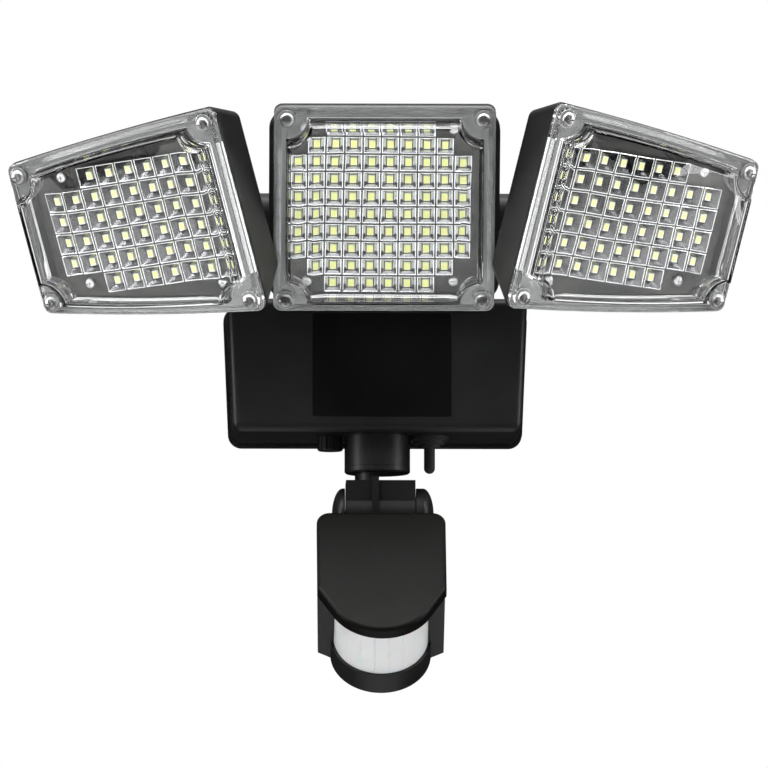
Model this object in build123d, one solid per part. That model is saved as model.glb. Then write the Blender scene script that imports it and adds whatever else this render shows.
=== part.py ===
from build123d import *
import os

# Motion sensor security light: three lamp heads over a battery case, with a
# passive infrared sensor on a swivel below. Millimetres. +Z is up, the light
# shines towards -Y, and the wall is the plane y = 0. The origin is the middle
# of the wall bracket's two holes.

# ---------------------------------------------------------------- clearances
running_gap = 0.05        # shaft in its hole, on the radius
seat_gap = 0.1            # between pieces of one body that slide together
swing_gap = 0.35          # between a moving piece and its neighbour
screw_bite = 0.05         # screw shank to pilot hole, on the radius
pilot_spare = 1.0         # a blind hole is this much deeper than its screw
overcut = 1.0             # how far a cut runs past the surface that it opens
slot_width = 0.6          # cross slot of every screw
slot_depth = 0.8

# ------------------------------------------------------------- wall bracket
bracket_width = 92.0
bracket_height = 36.0
bracket_plate = 2.5
bracket_corner = 4.0
wall_hole_radius = 2.6
wall_hole_spacing = 76.0
hook_height = 8.0         # the two studs that the case hangs on
hook_radius = 3.0
hook_spacing = 44.0
hook_drop = 6.0           # below the wall holes
recess_gap = 1.0          # round the bracket, in the back of the case

# ---------------------------------------------------------------- lamp case
case_width_top = 125.5
case_width_foot = 120.5
case_height = 56.0
case_depth = 60.0
case_wall = 2.4
case_edge = 3.6           # rounding of the front cover
case_corner = 4.5
tray_depth = 9.0
tray_lip = 1.3            # the rear tray stands this far outside the cover
wall_gap = 1.0            # rear face of the case to the wall plane
seal_section = 2.0
rib_count = 9
rib_pitch = 2.9
rib_depth = 0.7
rib_front_margin = 5.6    # plain strip of the side in front of the ribs
rib_rear_margin = 10.0
label_width = 58.0
label_height = 43.5
label_thickness = 0.4
label_corner = 1.0
label_shift = 2.0
case_screw_radius = 1.45
case_screw_head = 2.9
case_screw_inset = 9.0
case_screw_grip = 14.0    # into the front cover's posts

# ----------------------------------------------------------------- battery
cell_radius = 7.1
cell_length = 65.0
cell_count = 2
cell_gap = 1.0
cell_terminal = 1.0
cell_rise = 4.0           # above the middle of the case
component_room = 5.0      # between the control board and the cells
holder_wall = 1.6
holder_grip = 2.0         # how far the tray reaches round the cells
control_board_width = 70.0
control_board_height = 34.0
board_thickness = 1.6
board_standoff = 4.0
control_screw_inset = 4.0
control_screw_radius = 1.2
control_screw_head = 2.4
control_screw_grip = 3.0
board_screw_rise = 1.5    # head height of the boards' screws
chip_width = 12.0
chip_height = 1.6
capacitor_places = (-22.0, -13.0, 16.0, 25.0)
capacitor_rise = 3.0      # above the board's middle
capacitor_radius = 3.0
capacitor_height = 4.5

# -------------------------------------------------- charge jack and its cap
jack_x = -19.3
service_y = -39.5         # jack, neck and switch stand on one line
jack_bore_radius = 1.8
jack_bore_length = 11.0
jack_nose_radius = 3.6
jack_nose_drop = 3.2
jack_body_radius = 5.0
jack_body_length = 14.0
cap_radius = 5.4
cap_height = 6.0
cap_flutes = 14
cap_flute_radius = 0.55
small_chamfer = 0.6

# ------------------------------------------------------------ toggle switch
switch_x = 22.2
switch_body_width = 13.0
switch_body_depth = 8.0
switch_body_height = 4.0
bushing_radius = 3.0
bushing_drop = 2.8        # below the case
boot_radii = (8.0, 6.5, 4.6)
boot_step = 1.6
lever_radius = 2.3
lever_tip_drop = 15.6     # lever tip below the case
lever_ball_radius = 1.9
lever_pin_radius = 0.8
lever_root = 2.6          # the thin root between the ball and the sleeve
lever_root_radius = 1.4
boot_flare = (1.2, 0.6)   # extra room for the lever, at the boot's mouth and at its top

# -------------------------------------------------------- neck and knuckle
neck_x = 0.4              # the neck stands this far right of the case
neck_radius = 13.7
neck_drop = 15.6
neck_ring_height = 2.6
neck_bore_radius = 5.1
neck_wall = 2.2
collar_height = 2.0       # ring's tongue, and the collar that rests on it
stub_length = 3.5
stub_left = 9.4           # the open half-round below the ring reaches this far left
stub_right = 0.6          # and this far right of the neck's axis
barrel_width = 29.0
barrel_radius = 11.0
barrel_flat = 1.5         # the block above the barrel is narrower by this
hinge_drop = 33.3         # hinge axis below the case
fin_width = 2.8
fin_depth = 1.8
fin_inset = 0.9           # the fin stands this far left of the neck's axis
fin_rise = 1.5
sensor_pin_radius = 2.5

# ------------------------------------------------------------------ sensor
sensor_shift = 1.3        # the block and the sensor stand this far right of the neck
sensor_tilt = 54.0        # nose down in the photographed pose
sensor_width = 53.7
sensor_height = 46.0
sensor_lens_radius = 19.8
sensor_lens_wall = 1.2
lens_seat = 1.5           # how far the lens goes up into the hood
lens_cut = 6.0            # the half-round window ends this far behind its axis
sensor_rim_radius = 21.0
sensor_rim_height = 10.9
sensor_wall = 2.2
sensor_back = 36.5        # rear face behind the lens axis
sensor_rear_corner = 5.5
foot_slope = 0.62         # the box's foot slopes up towards both sides
foot_flat = 18.6          # from here on
side_front = -2.8         # the flat cheeks start here, ahead of the lens axis
hood_overhang = 5.1
hood_thickness = 5.6
hood_radius = 23.1
hood_rear = 2.7           # the hood ends this far behind the box
hood_crown = 1.6
hinge_back = 48.6         # hinge axis behind the lens axis
hinge_rise = 32.5         # hinge axis above the sensor's foot
ear_radius = 11.5
ear_thickness = 6.45
ear_offset = 1.0          # the right ear is thicker by this, the left one thinner
ear_round = 4.6           # depth of the dome that closes an ear
ear_arm_spread = 1.6      # the ear's arm is wider than its round part by this
ear_arm_lift = 2.0
pin_inset = 1.5           # pin end below the ear's outer face
infrared_radius = 4.6     # the element on the sensor's board
infrared_height = 4.0
infrared_z = 24.0
sensor_board_y = 8.0
sensor_board_width = 32.0
sensor_board_gap = 4.0    # under the hood
cheek_inset = 0.6         # the rear box is this much narrower than the hood
dial_radius = 4.0
dial_height = 2.6
dial_spacing = 20.0
dial_slot = 1.0
dial_slot_rest = 0.3
dial_spindle = 1.5
dial_spindle_end = 2.0    # inside the sensor's floor
dial_back = 20.0

# ------------------------------------------------- post, cross arm, knuckles
head_shift = 2.5          # the three heads stand this far right of the case
arm_setback = 19.0        # the cross arm's axis behind the case's front
arm_rise = 38.0           # and above the case's roof
arm_radius = 8.0
arm_bore = 5.5
arm_lean = 4.6            # the swivel axes lean outwards by this
arm_sleeve = 3.0          # wall of the post's sleeve
wire_bore = 3.5
post_width = 17.0
post_depth = 22.0
post_column = 6.0         # half the upright's depth
post_screw_radius = 1.7
post_screw_head = 2.8
post_screw_inset = 4.5
post_foot_width = 44.0
post_foot_height = 3.0
post_head_rise = 1.8
post_screw_end = 2.0      # beyond the case's roof
swivel_reach = 77.7       # swivel axis from the arm's middle
swivel_boss_radius = 9.0
swivel_boss_height = 18.0
swivel_pin_radius = 3.0
knuckle_plate = 3.4
knuckle_reach = 20.0      # swivel axis to tilt axis
knuckle_barrel_radius = 7.0
knuckle_barrel_width = 16.0
tilt_pin_radius = 2.5
tilt_ear = 4.6
tilt_ear_rim = 0.5        # ear radius over the barrel's
pin_head_rim = 1.6        # pin head radius over the pin's, and its thickness
lug_radius = 11.5
lug_width = 8.0
lug_gap = 1.0             # between post and lug, beyond the swing gap
web_gap = 0.55            # knuckle's web to the arm's boss
web_setback = 4.0         # web's front edge behind the tilt axis

# --------------------------------------------------------------- lamp heads
head_wall = 3.0
head_corner = 3.6
rim_depth = 1.5           # straight part of the shell behind the cover
lip_width = 1.9           # the middle shell stands out by this on both sides
lip_drop = 4.0            # below the cover's corners
lip_corner = 8.0
lip_depth = 6.0
flange_thickness = 2.4
cover_height = 12.5
cover_inset = 5.0
cover_wall = 1.8
boss_inset = 5.2
boss_radius = 4.0
boss_height = 1.6         # above the flange
boss_solid_inset = 0.5    # keeps the posts inside the shell's skin
boss_clear = 8.8          # radius of the cover's corner cut-outs
cover_screw_radius = 1.45
cover_screw_head = 2.9
cover_screw_length = 9.0
cover_screw_rise = 1.8
cover_screw_slot = 3.2
cover_hole_gap = 0.3
seal_width = 1.2
reflector_front = 1.5
led_width = 2.8
led_height = 3.5
led_thickness = 0.8
led_window = 0.35         # pocket foot to LED, each side
cell_rim = 0.7            # flat rim between two pockets
board_screw_head = 2.3
board_screw_radius = 1.2
board_screw_grip = 5.0
board_post_wall = 1.6
board_hole_gap = 0.2
board_edge_gap = 0.6
small_corner = 1.0        # least rounding of an inset outline

# Derived places that several pieces share
case_front = -wall_gap - case_depth
case_foot = -case_height / 2
neck_foot = case_foot - neck_drop
hinge_z = case_foot - hinge_drop
tray_front = -wall_gap - tray_depth
arm_y = case_front + arm_setback
arm_z = case_height / 2 + arm_rise
sensor_x = neck_x + sensor_shift


class Head:
    """Sizes and pose of one lamp head. side is -1 left, 0 centre, 1 right."""

    def __init__(self, name, side):
        self.name = name
        self.side = side
        if side == 0:
            self.width = 92.0
            self.outer_height = 89.6
            self.inner_height = 89.6
            self.pitch = 7.7
            self.row_pitch = 7.7
            self.rows = [6, 8] + [10] * 6 + [8, 6]
            self.first_led = -36.4
            self.pocket_depth = 2.4
            self.shell_depth = 24.0
            self.hinge_depth = 42.5
            self.hinge_drop = 16.4
            self.bow = 0.0
            self.inner_extra = 0.0
            self.led_drop = 0.0
            self.taper = (12.0, 12.0, 12.0)
            self.board_screws = [(x, z) for x in (-32.6, 29.2) for z in (-33.7, 33.7)]
            self.tilt = 25.0
        else:
            self.width = 98.2
            self.outer_height = 64.7
            self.inner_height = 88.8
            self.pitch = 9.14
            self.row_pitch = 9.4
            self.rows = [7, 9, 9, 9, 9, 7]
            self.first_led = -32.8
            self.pocket_depth = 3.0
            self.shell_depth = 27.0
            self.hinge_depth = 38.0
            self.hinge_drop = 5.4
            self.bow = 1.0
            self.inner_extra = 4.2
            self.led_drop = 0.6
            self.taper = (12.0, 5.0, 9.0)
            places = [(-27.6, -24.0), (-27.6, 24.0), (34.5, -31.7), (34.5, 31.7)]
            self.board_screws = [(self.across(x), z) for x, z in places]
            self.tilt = 20.9 if side == -1 else 18.3
        self.swivel = 30.0 * side
        self.lean = arm_lean * side

    def across(self, x):
        """Left and right heads mirror each other: -x is the outer side on the left."""
        return -x if self.side == 1 else x

    def corners(self, sink=0.0):
        """Corners of the rim, or with sink up to 1 of a section towards the shell's back."""
        outer, inner, level = [sink * inset for inset in self.taper]
        half = self.width / 2
        left = self.outer_height / 2 - level
        right = self.inner_height / 2 - level
        reach = half + self.inner_extra - inner
        points = [(outer - half, -left), (reach, -right), (reach, right), (outer - half, left)]
        return [(self.across(x), z) for x, z in points]

    def outline(self, inset=0.0, sink=0.0):
        """A section seen from the front, made smaller by inset. The side heads' upper
        and lower edges bow outwards."""
        low_outer, low_inner, high_inner, high_outer = self.corners(sink)
        edges = []
        for start, end, bow in ((low_outer, low_inner, -self.bow), (low_inner, high_inner, 0),
                                (high_inner, high_outer, self.bow), (high_outer, low_outer, 0)):
            middle = ((start[0] + end[0]) / 2, (start[1] + end[1]) / 2 + bow)
            edges.append(ThreePointArc(start, middle, end) if bow else Line(start, end))
        face = make_face(edges)
        if inset > 0:
            face = offset(face, amount=-inset, kind=Kind.INTERSECTION)
        return fillet(face.vertices(), max(head_corner - inset, small_corner))

    def bosses(self):
        """Centres of the four corner bosses, inset along both edges."""
        face = make_face(Polyline(*self.corners(), close=True))
        inner = offset(face, amount=-boss_inset, kind=Kind.INTERSECTION)
        return [(v.X, v.Y) for v in inner.vertices()]

    def leds(self):
        """LED centres. Short rows are centred on the square head and
        start two columns in on the side heads."""
        count = len(self.rows)
        longest = max(self.rows)
        places = []
        for row, leds in enumerate(self.rows):
            z = ((count - 1) / 2 - row) * self.row_pitch - self.led_drop
            skip = (longest - leds) // 2 if self.side == 0 else longest - leds
            for column in range(skip, skip + leds):
                places.append((self.across(self.first_led + column * self.pitch), z))
        return places

    def place(self, shape):
        """Move a shape from the head's own frame to its photographed pose."""
        own = Pos(0, -self.hinge_depth, self.hinge_drop) * shape
        tilted = Rot(X=self.tilt) * own
        if self.side == 0:
            return Pos(head_shift, arm_y, arm_z) * tilted
        return self.place_knuckle(Pos(0, -knuckle_reach, 0) * tilted)

    def place_knuckle(self, shape):
        """Move a shape from the swivel axis's frame to its photographed pose."""
        swivel = Pos(head_shift + self.side * swivel_reach, arm_y, arm_z)
        return swivel * Rot(Y=self.lean) * Rot(Z=self.swivel) * shape


def slab(face, back, front):
    """Plate between two depths, from a face drawn as seen from the front."""
    return extrude(Plane.XZ.offset(-back) * face, amount=back - front)


def rod_y(x, z, radius, back, front):
    """Round bar along Y."""
    return slab(Pos(x, z) * Circle(radius), back, front)


def rod_x(y, z, radius, x0, x1):
    """Round bar along X."""
    circle = Plane.YZ.offset(x0) * Pos(y, z) * Circle(radius)
    return extrude(circle, amount=x1 - x0)


def rod_z(x, y, radius, z0, z1):
    """Round bar along Z."""
    return extrude(Plane.XY.offset(z0) * Pos(x, y) * Circle(radius), amount=z1 - z0)


def block(x0, x1, y0, y1, z0, z1):
    """Box between two corners."""
    middle = Pos((x0 + x1) / 2, (y0 + y1) / 2, (z0 + z1) / 2)
    return middle * Box(x1 - x0, y1 - y0, z1 - z0)


def save(shape, node):
    """Write one node and print its volume."""
    export_step(shape, "parts/" + node + ".step")
    print(f"{node:24s} solids {len(shape.solids()):3d}  volume {shape.volume:10.1f}")


def group(shapes):
    """Several separate solids in one node."""
    return Compound(children=[solid for shape in shapes for solid in shape.solids()])


def cross_slot(x, z, y0, y1, reach):
    """Cutter for the cross slot in a screw head that faces along Y."""
    half = slot_width / 2
    upright = block(x - half, x + half, y0, y1, z - reach, z + reach)
    return upright + block(x - reach, x + reach, y0, y1, z - half, z + half)


# ------------------------------------------------------------- wall bracket
def wall_bracket():
    plate = RectangleRounded(bracket_width, bracket_height, bracket_corner)
    bracket = slab(plate, 0, -bracket_plate)
    for side in (-1, 1):
        x = side * wall_hole_spacing / 2
        bracket -= rod_y(x, 0, wall_hole_radius, overcut, -bracket_plate - overcut)
        x = side * hook_spacing / 2
        bracket += rod_y(x, -hook_drop, hook_radius, -bracket_plate, -hook_height)
    return bracket


# --------------------------------------------------------------- lamp case
def case_outline(grow=0.0):
    """The case seen from the front: slightly narrower at its foot."""
    top = case_width_top / 2 + grow
    foot = case_width_foot / 2 + grow
    half = case_height / 2 + grow
    face = make_face(Polyline((-foot, -half), (foot, -half), (top, half), (-top, half), close=True))
    return fillet(face.vertices(), max(case_corner + grow, small_corner))


def case_screw_places():
    half_x = case_width_foot / 2 - case_screw_inset
    half_z = case_height / 2 - case_screw_inset
    return [(x, z) for x in (-half_x, half_x) for z in (-half_z, half_z)]


def back_case():
    """Rear tray with the recess for the bracket and sockets for its studs."""
    floor = -wall_gap - case_wall - bracket_plate
    tray = slab(case_outline(tray_lip), -wall_gap, tray_front)
    tray -= slab(case_outline(-case_wall), floor, tray_front)
    room = 2 * recess_gap
    recess = RectangleRounded(bracket_width + room, bracket_height + room, bracket_corner)
    tray -= slab(recess, 0, -bracket_plate - seat_gap)
    for side in (-1, 1):
        x = side * hook_spacing / 2
        tray += rod_y(x, -hook_drop, hook_radius + case_wall, floor, tray_front)
        tray -= rod_y(x, -hook_drop, hook_radius + running_gap, 0, -hook_height - seat_gap)
    for x, z in case_screw_places():
        tray += rod_y(x, z, case_screw_head + case_wall, floor, tray_front)
        tray -= rod_y(x, z, case_screw_radius + running_gap, 0, tray_front)
        tray -= rod_y(x, z, case_screw_head + seat_gap, 0, -wall_gap - case_wall)
    groove = case_outline(-seat_gap) - case_outline(-seal_section / 2 - seat_gap)
    return tray - slab(groove, tray_front + seal_section / 2, tray_front)


def case_seal():
    ring = case_outline(-seat_gap) - case_outline(-seal_section / 2 - seat_gap)
    return slab(ring, tray_front + seal_section / 2, tray_front)


def front_case():
    """Deep front cover with serrated sides, screw posts and the service holes."""
    cover = slab(case_outline(), tray_front, case_front)
    cover = fillet(cover.faces().sort_by(Axis.Y)[0].edges(), case_edge)
    cover -= slab(case_outline(-case_wall), tray_front, case_front + case_wall)
    for x, z in case_screw_places():
        post = rod_y(x, z, case_screw_radius + case_wall, tray_front, case_front + case_wall)
        pilot_end = tray_front - case_screw_grip - pilot_spare
        cover += post - rod_y(x, z, case_screw_radius + screw_bite, tray_front, pilot_end)
    cover -= slab(label_outline(), case_front + label_thickness, case_front)
    holes = [(jack_x, jack_nose_radius + running_gap), (switch_x, bushing_radius + running_gap),
             (neck_x, neck_bore_radius)]
    for x, radius in holes:
        cover -= rod_z(x, service_y, radius, case_foot - overcut, case_foot + case_wall + overcut)
    roof = case_height / 2
    cover -= rod_z(head_shift, arm_y, wire_bore, roof - case_wall - overcut, roof + overcut)
    for x in post_screw_places():
        cover -= rod_z(x, arm_y, post_screw_radius + screw_bite,
                       roof - case_wall - overcut, roof + overcut)
    inner = case_front + case_wall
    for x, z in control_screw_places():
        cover += rod_y(x, z, control_screw_head, inner + board_standoff, inner)
        cover -= rod_y(x, z, control_screw_radius + screw_bite, inner + board_standoff, inner)
    return cover - group(side_ribs())


def label_outline(inset=0.0):
    sides = RectangleRounded(label_width - 2 * inset, label_height - 2 * inset, label_corner)
    return Pos(label_shift, 0) * sides


def side_ribs():
    """Grooves across both sides of the cover, which leave ribs for the fingers."""
    grooves = []
    front = case_front + rib_front_margin
    back = tray_front - rib_rear_margin
    for index in range(rib_count):
        z = -(index - rib_count // 2 + 1) * rib_pitch
        slope = (case_width_top - case_width_foot) / 2 / case_height
        half = case_width_top / 2 - slope * (case_height / 2 - z)
        for side in (-1, 1):
            x0, x1 = sorted((side * (half - rib_depth), side * (half + rib_depth)))
            grooves.append(block(x0, x1, front, back, z - rib_pitch / 4, z + rib_pitch / 4))
    return grooves


def label_panel():
    return slab(label_outline(seat_gap), case_front + label_thickness, case_front)


def case_screws():
    screws = []
    for x, z in case_screw_places():
        head_back = -wall_gap - seat_gap
        head_front = -wall_gap - case_wall
        shank = rod_y(x, z, case_screw_radius, head_front, tray_front - case_screw_grip)
        head = rod_y(x, z, case_screw_head, head_back, head_front)
        head -= cross_slot(x, z, head_back - slot_depth, head_back, case_screw_radius)
        screws.append(head + shank)
    return group(screws)


# ------------------------------------------------------ inside the lamp case
def cell_places():
    """Cells stand in a row from front to back above the case floor."""
    step = 2 * cell_radius + cell_gap
    first = board_back() + component_room + holder_wall + cell_radius
    return [(first + index * step, cell_rise) for index in range(cell_count)]


def board_back():
    """Rear face of the control board, which stands behind the front wall."""
    return case_front + case_wall + board_standoff + board_thickness


def battery_cells():
    half = cell_length / 2
    cells = []
    for y, z in cell_places():
        cell = rod_x(y, z, cell_radius, -half, half)
        cell += rod_x(y, z, cell_radius / 3, half, half + cell_terminal)
        cells.append(cell)
    return group(cells)


def battery_holder():
    """Tray with end walls that holds the cells from below."""
    places = cell_places()
    front = places[0][0] - cell_radius - holder_wall
    back = places[-1][0] + cell_radius + holder_wall
    half = cell_length / 2 + cell_terminal + seat_gap
    low = cell_rise - cell_radius - holder_wall
    holder = block(-half - holder_wall, half + holder_wall, front, back, low, cell_rise)
    holder -= block(-half, half, front + holder_wall, back - holder_wall,
                    cell_rise - holder_grip, cell_rise + overcut)
    for side in (-1, 1):
        x0, x1 = sorted((side * half, side * (half + holder_wall)))
        holder += block(x0, x1, front, back, case_foot + case_wall, low)
    for y, z in places:
        holder -= rod_x(y, z, cell_radius + running_gap, -half, half)
    return holder


def control_screw_places():
    half_x = control_board_width / 2 - control_screw_inset
    half_z = control_board_height / 2 - control_screw_inset
    return [(x, z) for x in (-half_x, half_x) for z in (-half_z, half_z)]


def control_board():
    """Board behind the front wall, with its processor and a row of capacitors."""
    back = board_back()
    outline = RectangleRounded(control_board_width, control_board_height, small_corner)
    board = slab(outline, back, back - board_thickness)
    half = chip_width / 2
    board += block(-half, half, back, back + chip_height, -half, half)
    for x in capacitor_places:
        board += rod_y(x, capacitor_rise, capacitor_radius, back + capacitor_height, back)
    for x, z in control_screw_places():
        board -= rod_y(x, z, control_screw_radius + seat_gap, back, back - board_thickness)
    return board


def control_screws():
    back = board_back()
    screws = []
    for x, z in control_screw_places():
        screw = rod_y(x, z, control_screw_head, back + board_screw_rise, back)
        end = back - board_thickness - control_screw_grip
        screws.append(screw + rod_y(x, z, control_screw_radius, back, end))
    return group(screws)


def charge_jack():
    top = case_foot + case_wall + jack_body_length / 2
    jack = rod_z(jack_x, service_y, jack_body_radius, case_foot + case_wall, top)
    jack += rod_z(jack_x, service_y, jack_nose_radius, case_foot - jack_nose_drop, case_foot + case_wall)
    mouth = case_foot - jack_nose_drop
    return jack - rod_z(jack_x, service_y, jack_bore_radius, mouth, mouth + jack_bore_length)


def jack_cap():
    """Fluted cap that pulls off the charge jack."""
    top = case_foot - seat_gap
    cap = rod_z(jack_x, service_y, cap_radius, top - cap_height, top)
    cap = chamfer(cap.faces().sort_by(Axis.Z)[0].edges(), small_chamfer)
    inside = top - jack_nose_drop - seat_gap
    cap -= rod_z(jack_x, service_y, jack_nose_radius + running_gap, inside, top)
    flute = rod_z(0, 0, cap_flute_radius, top - cap_height, top)
    ring = [Pos(jack_x, service_y) * Rot(Z=360 / cap_flutes * i) * Pos(cap_radius, 0) * flute
            for i in range(cap_flutes)]
    return cap - group(ring)


# ------------------------------------------------------------ toggle switch
def lever_pivot_z():
    return case_foot - boot_step


def switch_body():
    foot = case_foot + case_wall
    half_x = switch_body_width / 2
    half_y = switch_body_depth / 2
    body = block(switch_x - half_x, switch_x + half_x, service_y - half_y, service_y + half_y,
                 foot, foot + switch_body_height)
    low = case_foot - bushing_drop
    body += rod_z(switch_x, service_y, bushing_radius, low, foot)
    body -= rod_z(switch_x, service_y, lever_ball_radius + swing_gap, low - overcut, foot)
    return body - lever_axle(running_gap, bushing_radius + overcut)


def lever_axle(gap, half):
    """The pin through the bushing that the lever rocks on."""
    radius = lever_pin_radius + gap
    return rod_y(switch_x, lever_pivot_z(), radius, service_y + half, service_y - half)


def switch_boot():
    """Stepped rubber washer round the lever."""
    boot = None
    for step, radius in enumerate(boot_radii):
        top = case_foot - step * boot_step
        ring = rod_z(switch_x, service_y, radius, top - boot_step, top)
        boot = ring if boot is None else boot + ring
    low = case_foot - len(boot_radii) * boot_step
    boot -= rod_z(switch_x, service_y, bushing_radius + running_gap, case_foot - bushing_drop, case_foot)
    mouth, throat = boot_flare
    opening = Cone(lever_radius + swing_gap + mouth, lever_ball_radius + swing_gap + throat,
                   case_foot - low)
    return boot - Pos(switch_x, service_y, (case_foot + low) / 2) * opening


def switch_lever():
    """Lever in its rubber sleeve, with a ball and a pin inside the bushing."""
    pivot = lever_pivot_z()
    tip = case_foot - lever_tip_drop
    lever = rod_z(switch_x, service_y, lever_radius, tip + lever_radius, pivot - lever_root)
    lever += Pos(switch_x, service_y, tip + lever_radius) * Sphere(lever_radius)
    lever += rod_z(switch_x, service_y, lever_root_radius, pivot - lever_root, pivot)
    lever += Pos(switch_x, service_y, pivot) * Sphere(lever_ball_radius)
    return lever + lever_axle(0, bushing_radius - seat_gap)


# --------------------------------------------------------- neck and knuckle
def sensor_socket():
    """Cylindrical neck screwed under the case, open below for the swivel."""
    top = case_foot
    floor = neck_foot + neck_ring_height + seat_gap
    neck = rod_z(neck_x, service_y, neck_radius, floor, top)
    neck -= rod_z(neck_x, service_y, neck_radius - neck_wall, floor, top - neck_wall)
    return neck - rod_z(neck_x, service_y, neck_bore_radius, top - neck_wall, top)


def neck_ring():
    """Ring that closes the neck and holds the swivel's collar."""
    top = neck_foot + neck_ring_height
    ring = rod_z(neck_x, service_y, neck_radius, neck_foot, top)
    ring = chamfer(ring.faces().sort_by(Axis.Z)[0].edges(), small_chamfer)
    tongue = top + collar_height
    ring += rod_z(neck_x, service_y, neck_radius - neck_wall - seat_gap, top, tongue)
    return ring - rod_z(neck_x, service_y, neck_bore_radius + running_gap, neck_foot, tongue)


def sensor_swivel():
    """Collared shaft in the neck, an open half-round under it and the hinge block."""
    collar_low = neck_foot + neck_ring_height + collar_height + seat_gap
    barrel_top = neck_foot - stub_length
    stub_top = neck_foot - seat_gap
    stub = rod_z(neck_x, service_y, neck_bore_radius, stub_top, collar_low)
    collar = neck_radius - neck_wall - swing_gap
    stub += rod_z(neck_x, service_y, collar, collar_low, collar_low + collar_height)
    half_round = rod_z(neck_x, service_y, stub_left, barrel_top, stub_top)
    stub += half_round & block(neck_x - stub_left, neck_x + stub_right, service_y - stub_left,
                               service_y + stub_left, barrel_top, stub_top)
    left = sensor_x - barrel_width / 2
    right = sensor_x + barrel_width / 2
    depth = barrel_radius - barrel_flat
    stub += rod_x(service_y, hinge_z, barrel_radius, left, right)
    stub += block(left, right, service_y - depth, service_y + depth, hinge_z, barrel_top)
    front = service_y - depth
    fin = neck_x - fin_inset
    stub += block(fin - fin_width / 2, fin + fin_width / 2, front - fin_depth, front,
                  hinge_z, barrel_top + fin_rise)
    return stub - rod_x(service_y, hinge_z, sensor_pin_radius + running_gap, left, right)


# ------------------------------------------------------------------- sensor
# The sensor is drawn level, lens axis on Z and foot at z = 0, then tilted.
def place_sensor(shape):
    level = Pos(0, -hinge_back, -hinge_rise) * shape
    return Pos(sensor_x, service_y, hinge_z) * Rot(X=sensor_tilt) * level


def body_outline(grow=0.0):
    """Plan of the sensor's rear box."""
    half = sensor_width / 2 - cheek_inset + grow
    box = Pos(0, (side_front + sensor_back) / 2) * Rectangle(
        2 * half, sensor_back - side_front + 2 * grow)
    rear = box.vertices().sort_by(Axis.Y)[-2:]
    return fillet(rear, sensor_rear_corner + grow)


def hood_outline():
    """Plan of the hood: straight sides that run into a round nose."""
    nose = Pos(0, hood_radius - sensor_rim_radius - hood_overhang) * Circle(hood_radius)
    back = sensor_back + hood_rear
    sides = Pos(0, (side_front + back) / 2) * Rectangle(sensor_width, back - side_front)
    face = make_hull((nose + sides).edges())
    rear = face.vertices().sort_by(Axis.Y)[-2:]
    return fillet(rear, sensor_rear_corner)


def hood_foot():
    return sensor_height - hood_thickness


def lens_rod(radius, low, high):
    return rod_z(0, 0, radius, low, high)


def sensor_body():
    """Rear box with the lower rim ring, cheeks and two domed hinge ears."""
    top = hood_foot()
    body = extrude(body_outline(), amount=top) - foot_wedges(0)
    body += lens_rod(sensor_rim_radius, 0, sensor_rim_height)
    floor = sensor_wall * (1 + foot_slope ** 2) ** 0.5
    body -= extrude(Pos(0, 0, sensor_wall) * body_outline(-sensor_wall), amount=top) - foot_wedges(floor)
    body -= lens_rod(sensor_rim_radius - sensor_wall, sensor_wall, sensor_rim_height)
    body -= lens_rod(sensor_lens_radius + seat_gap, sensor_rim_height, top)
    body += group(sensor_ears())
    body -= dial_wells()
    return body - rod_x(hinge_back, hinge_rise, sensor_pin_radius + running_gap,
                        -sensor_width, sensor_width)


def foot_wedges(lift):
    """What the sloping foot leaves out on both sides of the box."""
    wedges = []
    reach = sensor_width
    rise = foot_slope * (reach - foot_flat)
    for side in (-1, 1):
        points = [(side * foot_flat, lift), (side * reach, lift + rise), (side * reach, -reach),
                  (side * foot_flat, -reach)]
        wedge = make_face(Polyline(*points, close=True))
        wedges.append(slab(wedge, sensor_back + overcut, side_front - overcut))
    return group(wedges)


def sensor_ears():
    """The ears stand behind the box, on both sides of the hinge barrel."""
    inner = barrel_width / 2 + swing_gap
    ears = []
    for side in (-1, 1):
        outer = inner + ear_thickness + side * ear_offset
        base = outer - ear_round
        ear = rod_x(hinge_back, hinge_rise, ear_radius, *sorted((side * inner, side * base)))
        dome = scale(Sphere(ear_radius), by=(ear_round / ear_radius, 1, 1))
        dome &= block(*sorted((0, side * ear_round)), -ear_radius, ear_radius, -ear_radius, ear_radius)
        ear += Pos(side * base, hinge_back, hinge_rise) * dome
        arm_x = sorted((side * inner, side * (base + ear_arm_spread)))
        arm = block(*arm_x, sensor_back - overcut, hinge_back,
                    hinge_rise - ear_radius + ear_arm_lift, hood_foot())
        ears.append(ear + arm - rod_gap())
    return ears


def rod_gap():
    """Room for the barrel between the ears."""
    half = barrel_width / 2 + swing_gap
    return rod_x(hinge_back, hinge_rise, barrel_radius + swing_gap, -half, half)


def sensor_hood():
    """Cover plate with a crowned top and a round nose over the lens."""
    foot = hood_foot()
    plate = extrude(Pos(0, 0, foot) * hood_outline(), amount=hood_thickness)
    plate = fillet(plate.faces().sort_by(Axis.Z)[-1].edges(), hood_crown)
    return plate - lens_rod(sensor_lens_radius + seat_gap, foot, foot + lens_seat + seat_gap)


def sensor_lens():
    """Half-round Fresnel window, closed at its top under the hood."""
    low = sensor_rim_height
    high = hood_foot() + lens_seat
    lens = lens_rod(sensor_lens_radius, low, high)
    lens -= lens_rod(sensor_lens_radius - sensor_lens_wall, low, high)
    reach = 2 * sensor_lens_radius
    return lens - block(-reach, reach, lens_cut, reach, low - overcut, high + overcut)


def sensor_board():
    """Board behind the lens with the round infrared element on its front."""
    half = sensor_board_width / 2
    front = sensor_board_y
    board = block(-half, half, front, front + board_thickness,
                  sensor_wall, hood_foot() - sensor_board_gap)
    return board + rod_y(0, infrared_z, infrared_radius, front, front - infrared_height)


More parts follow.
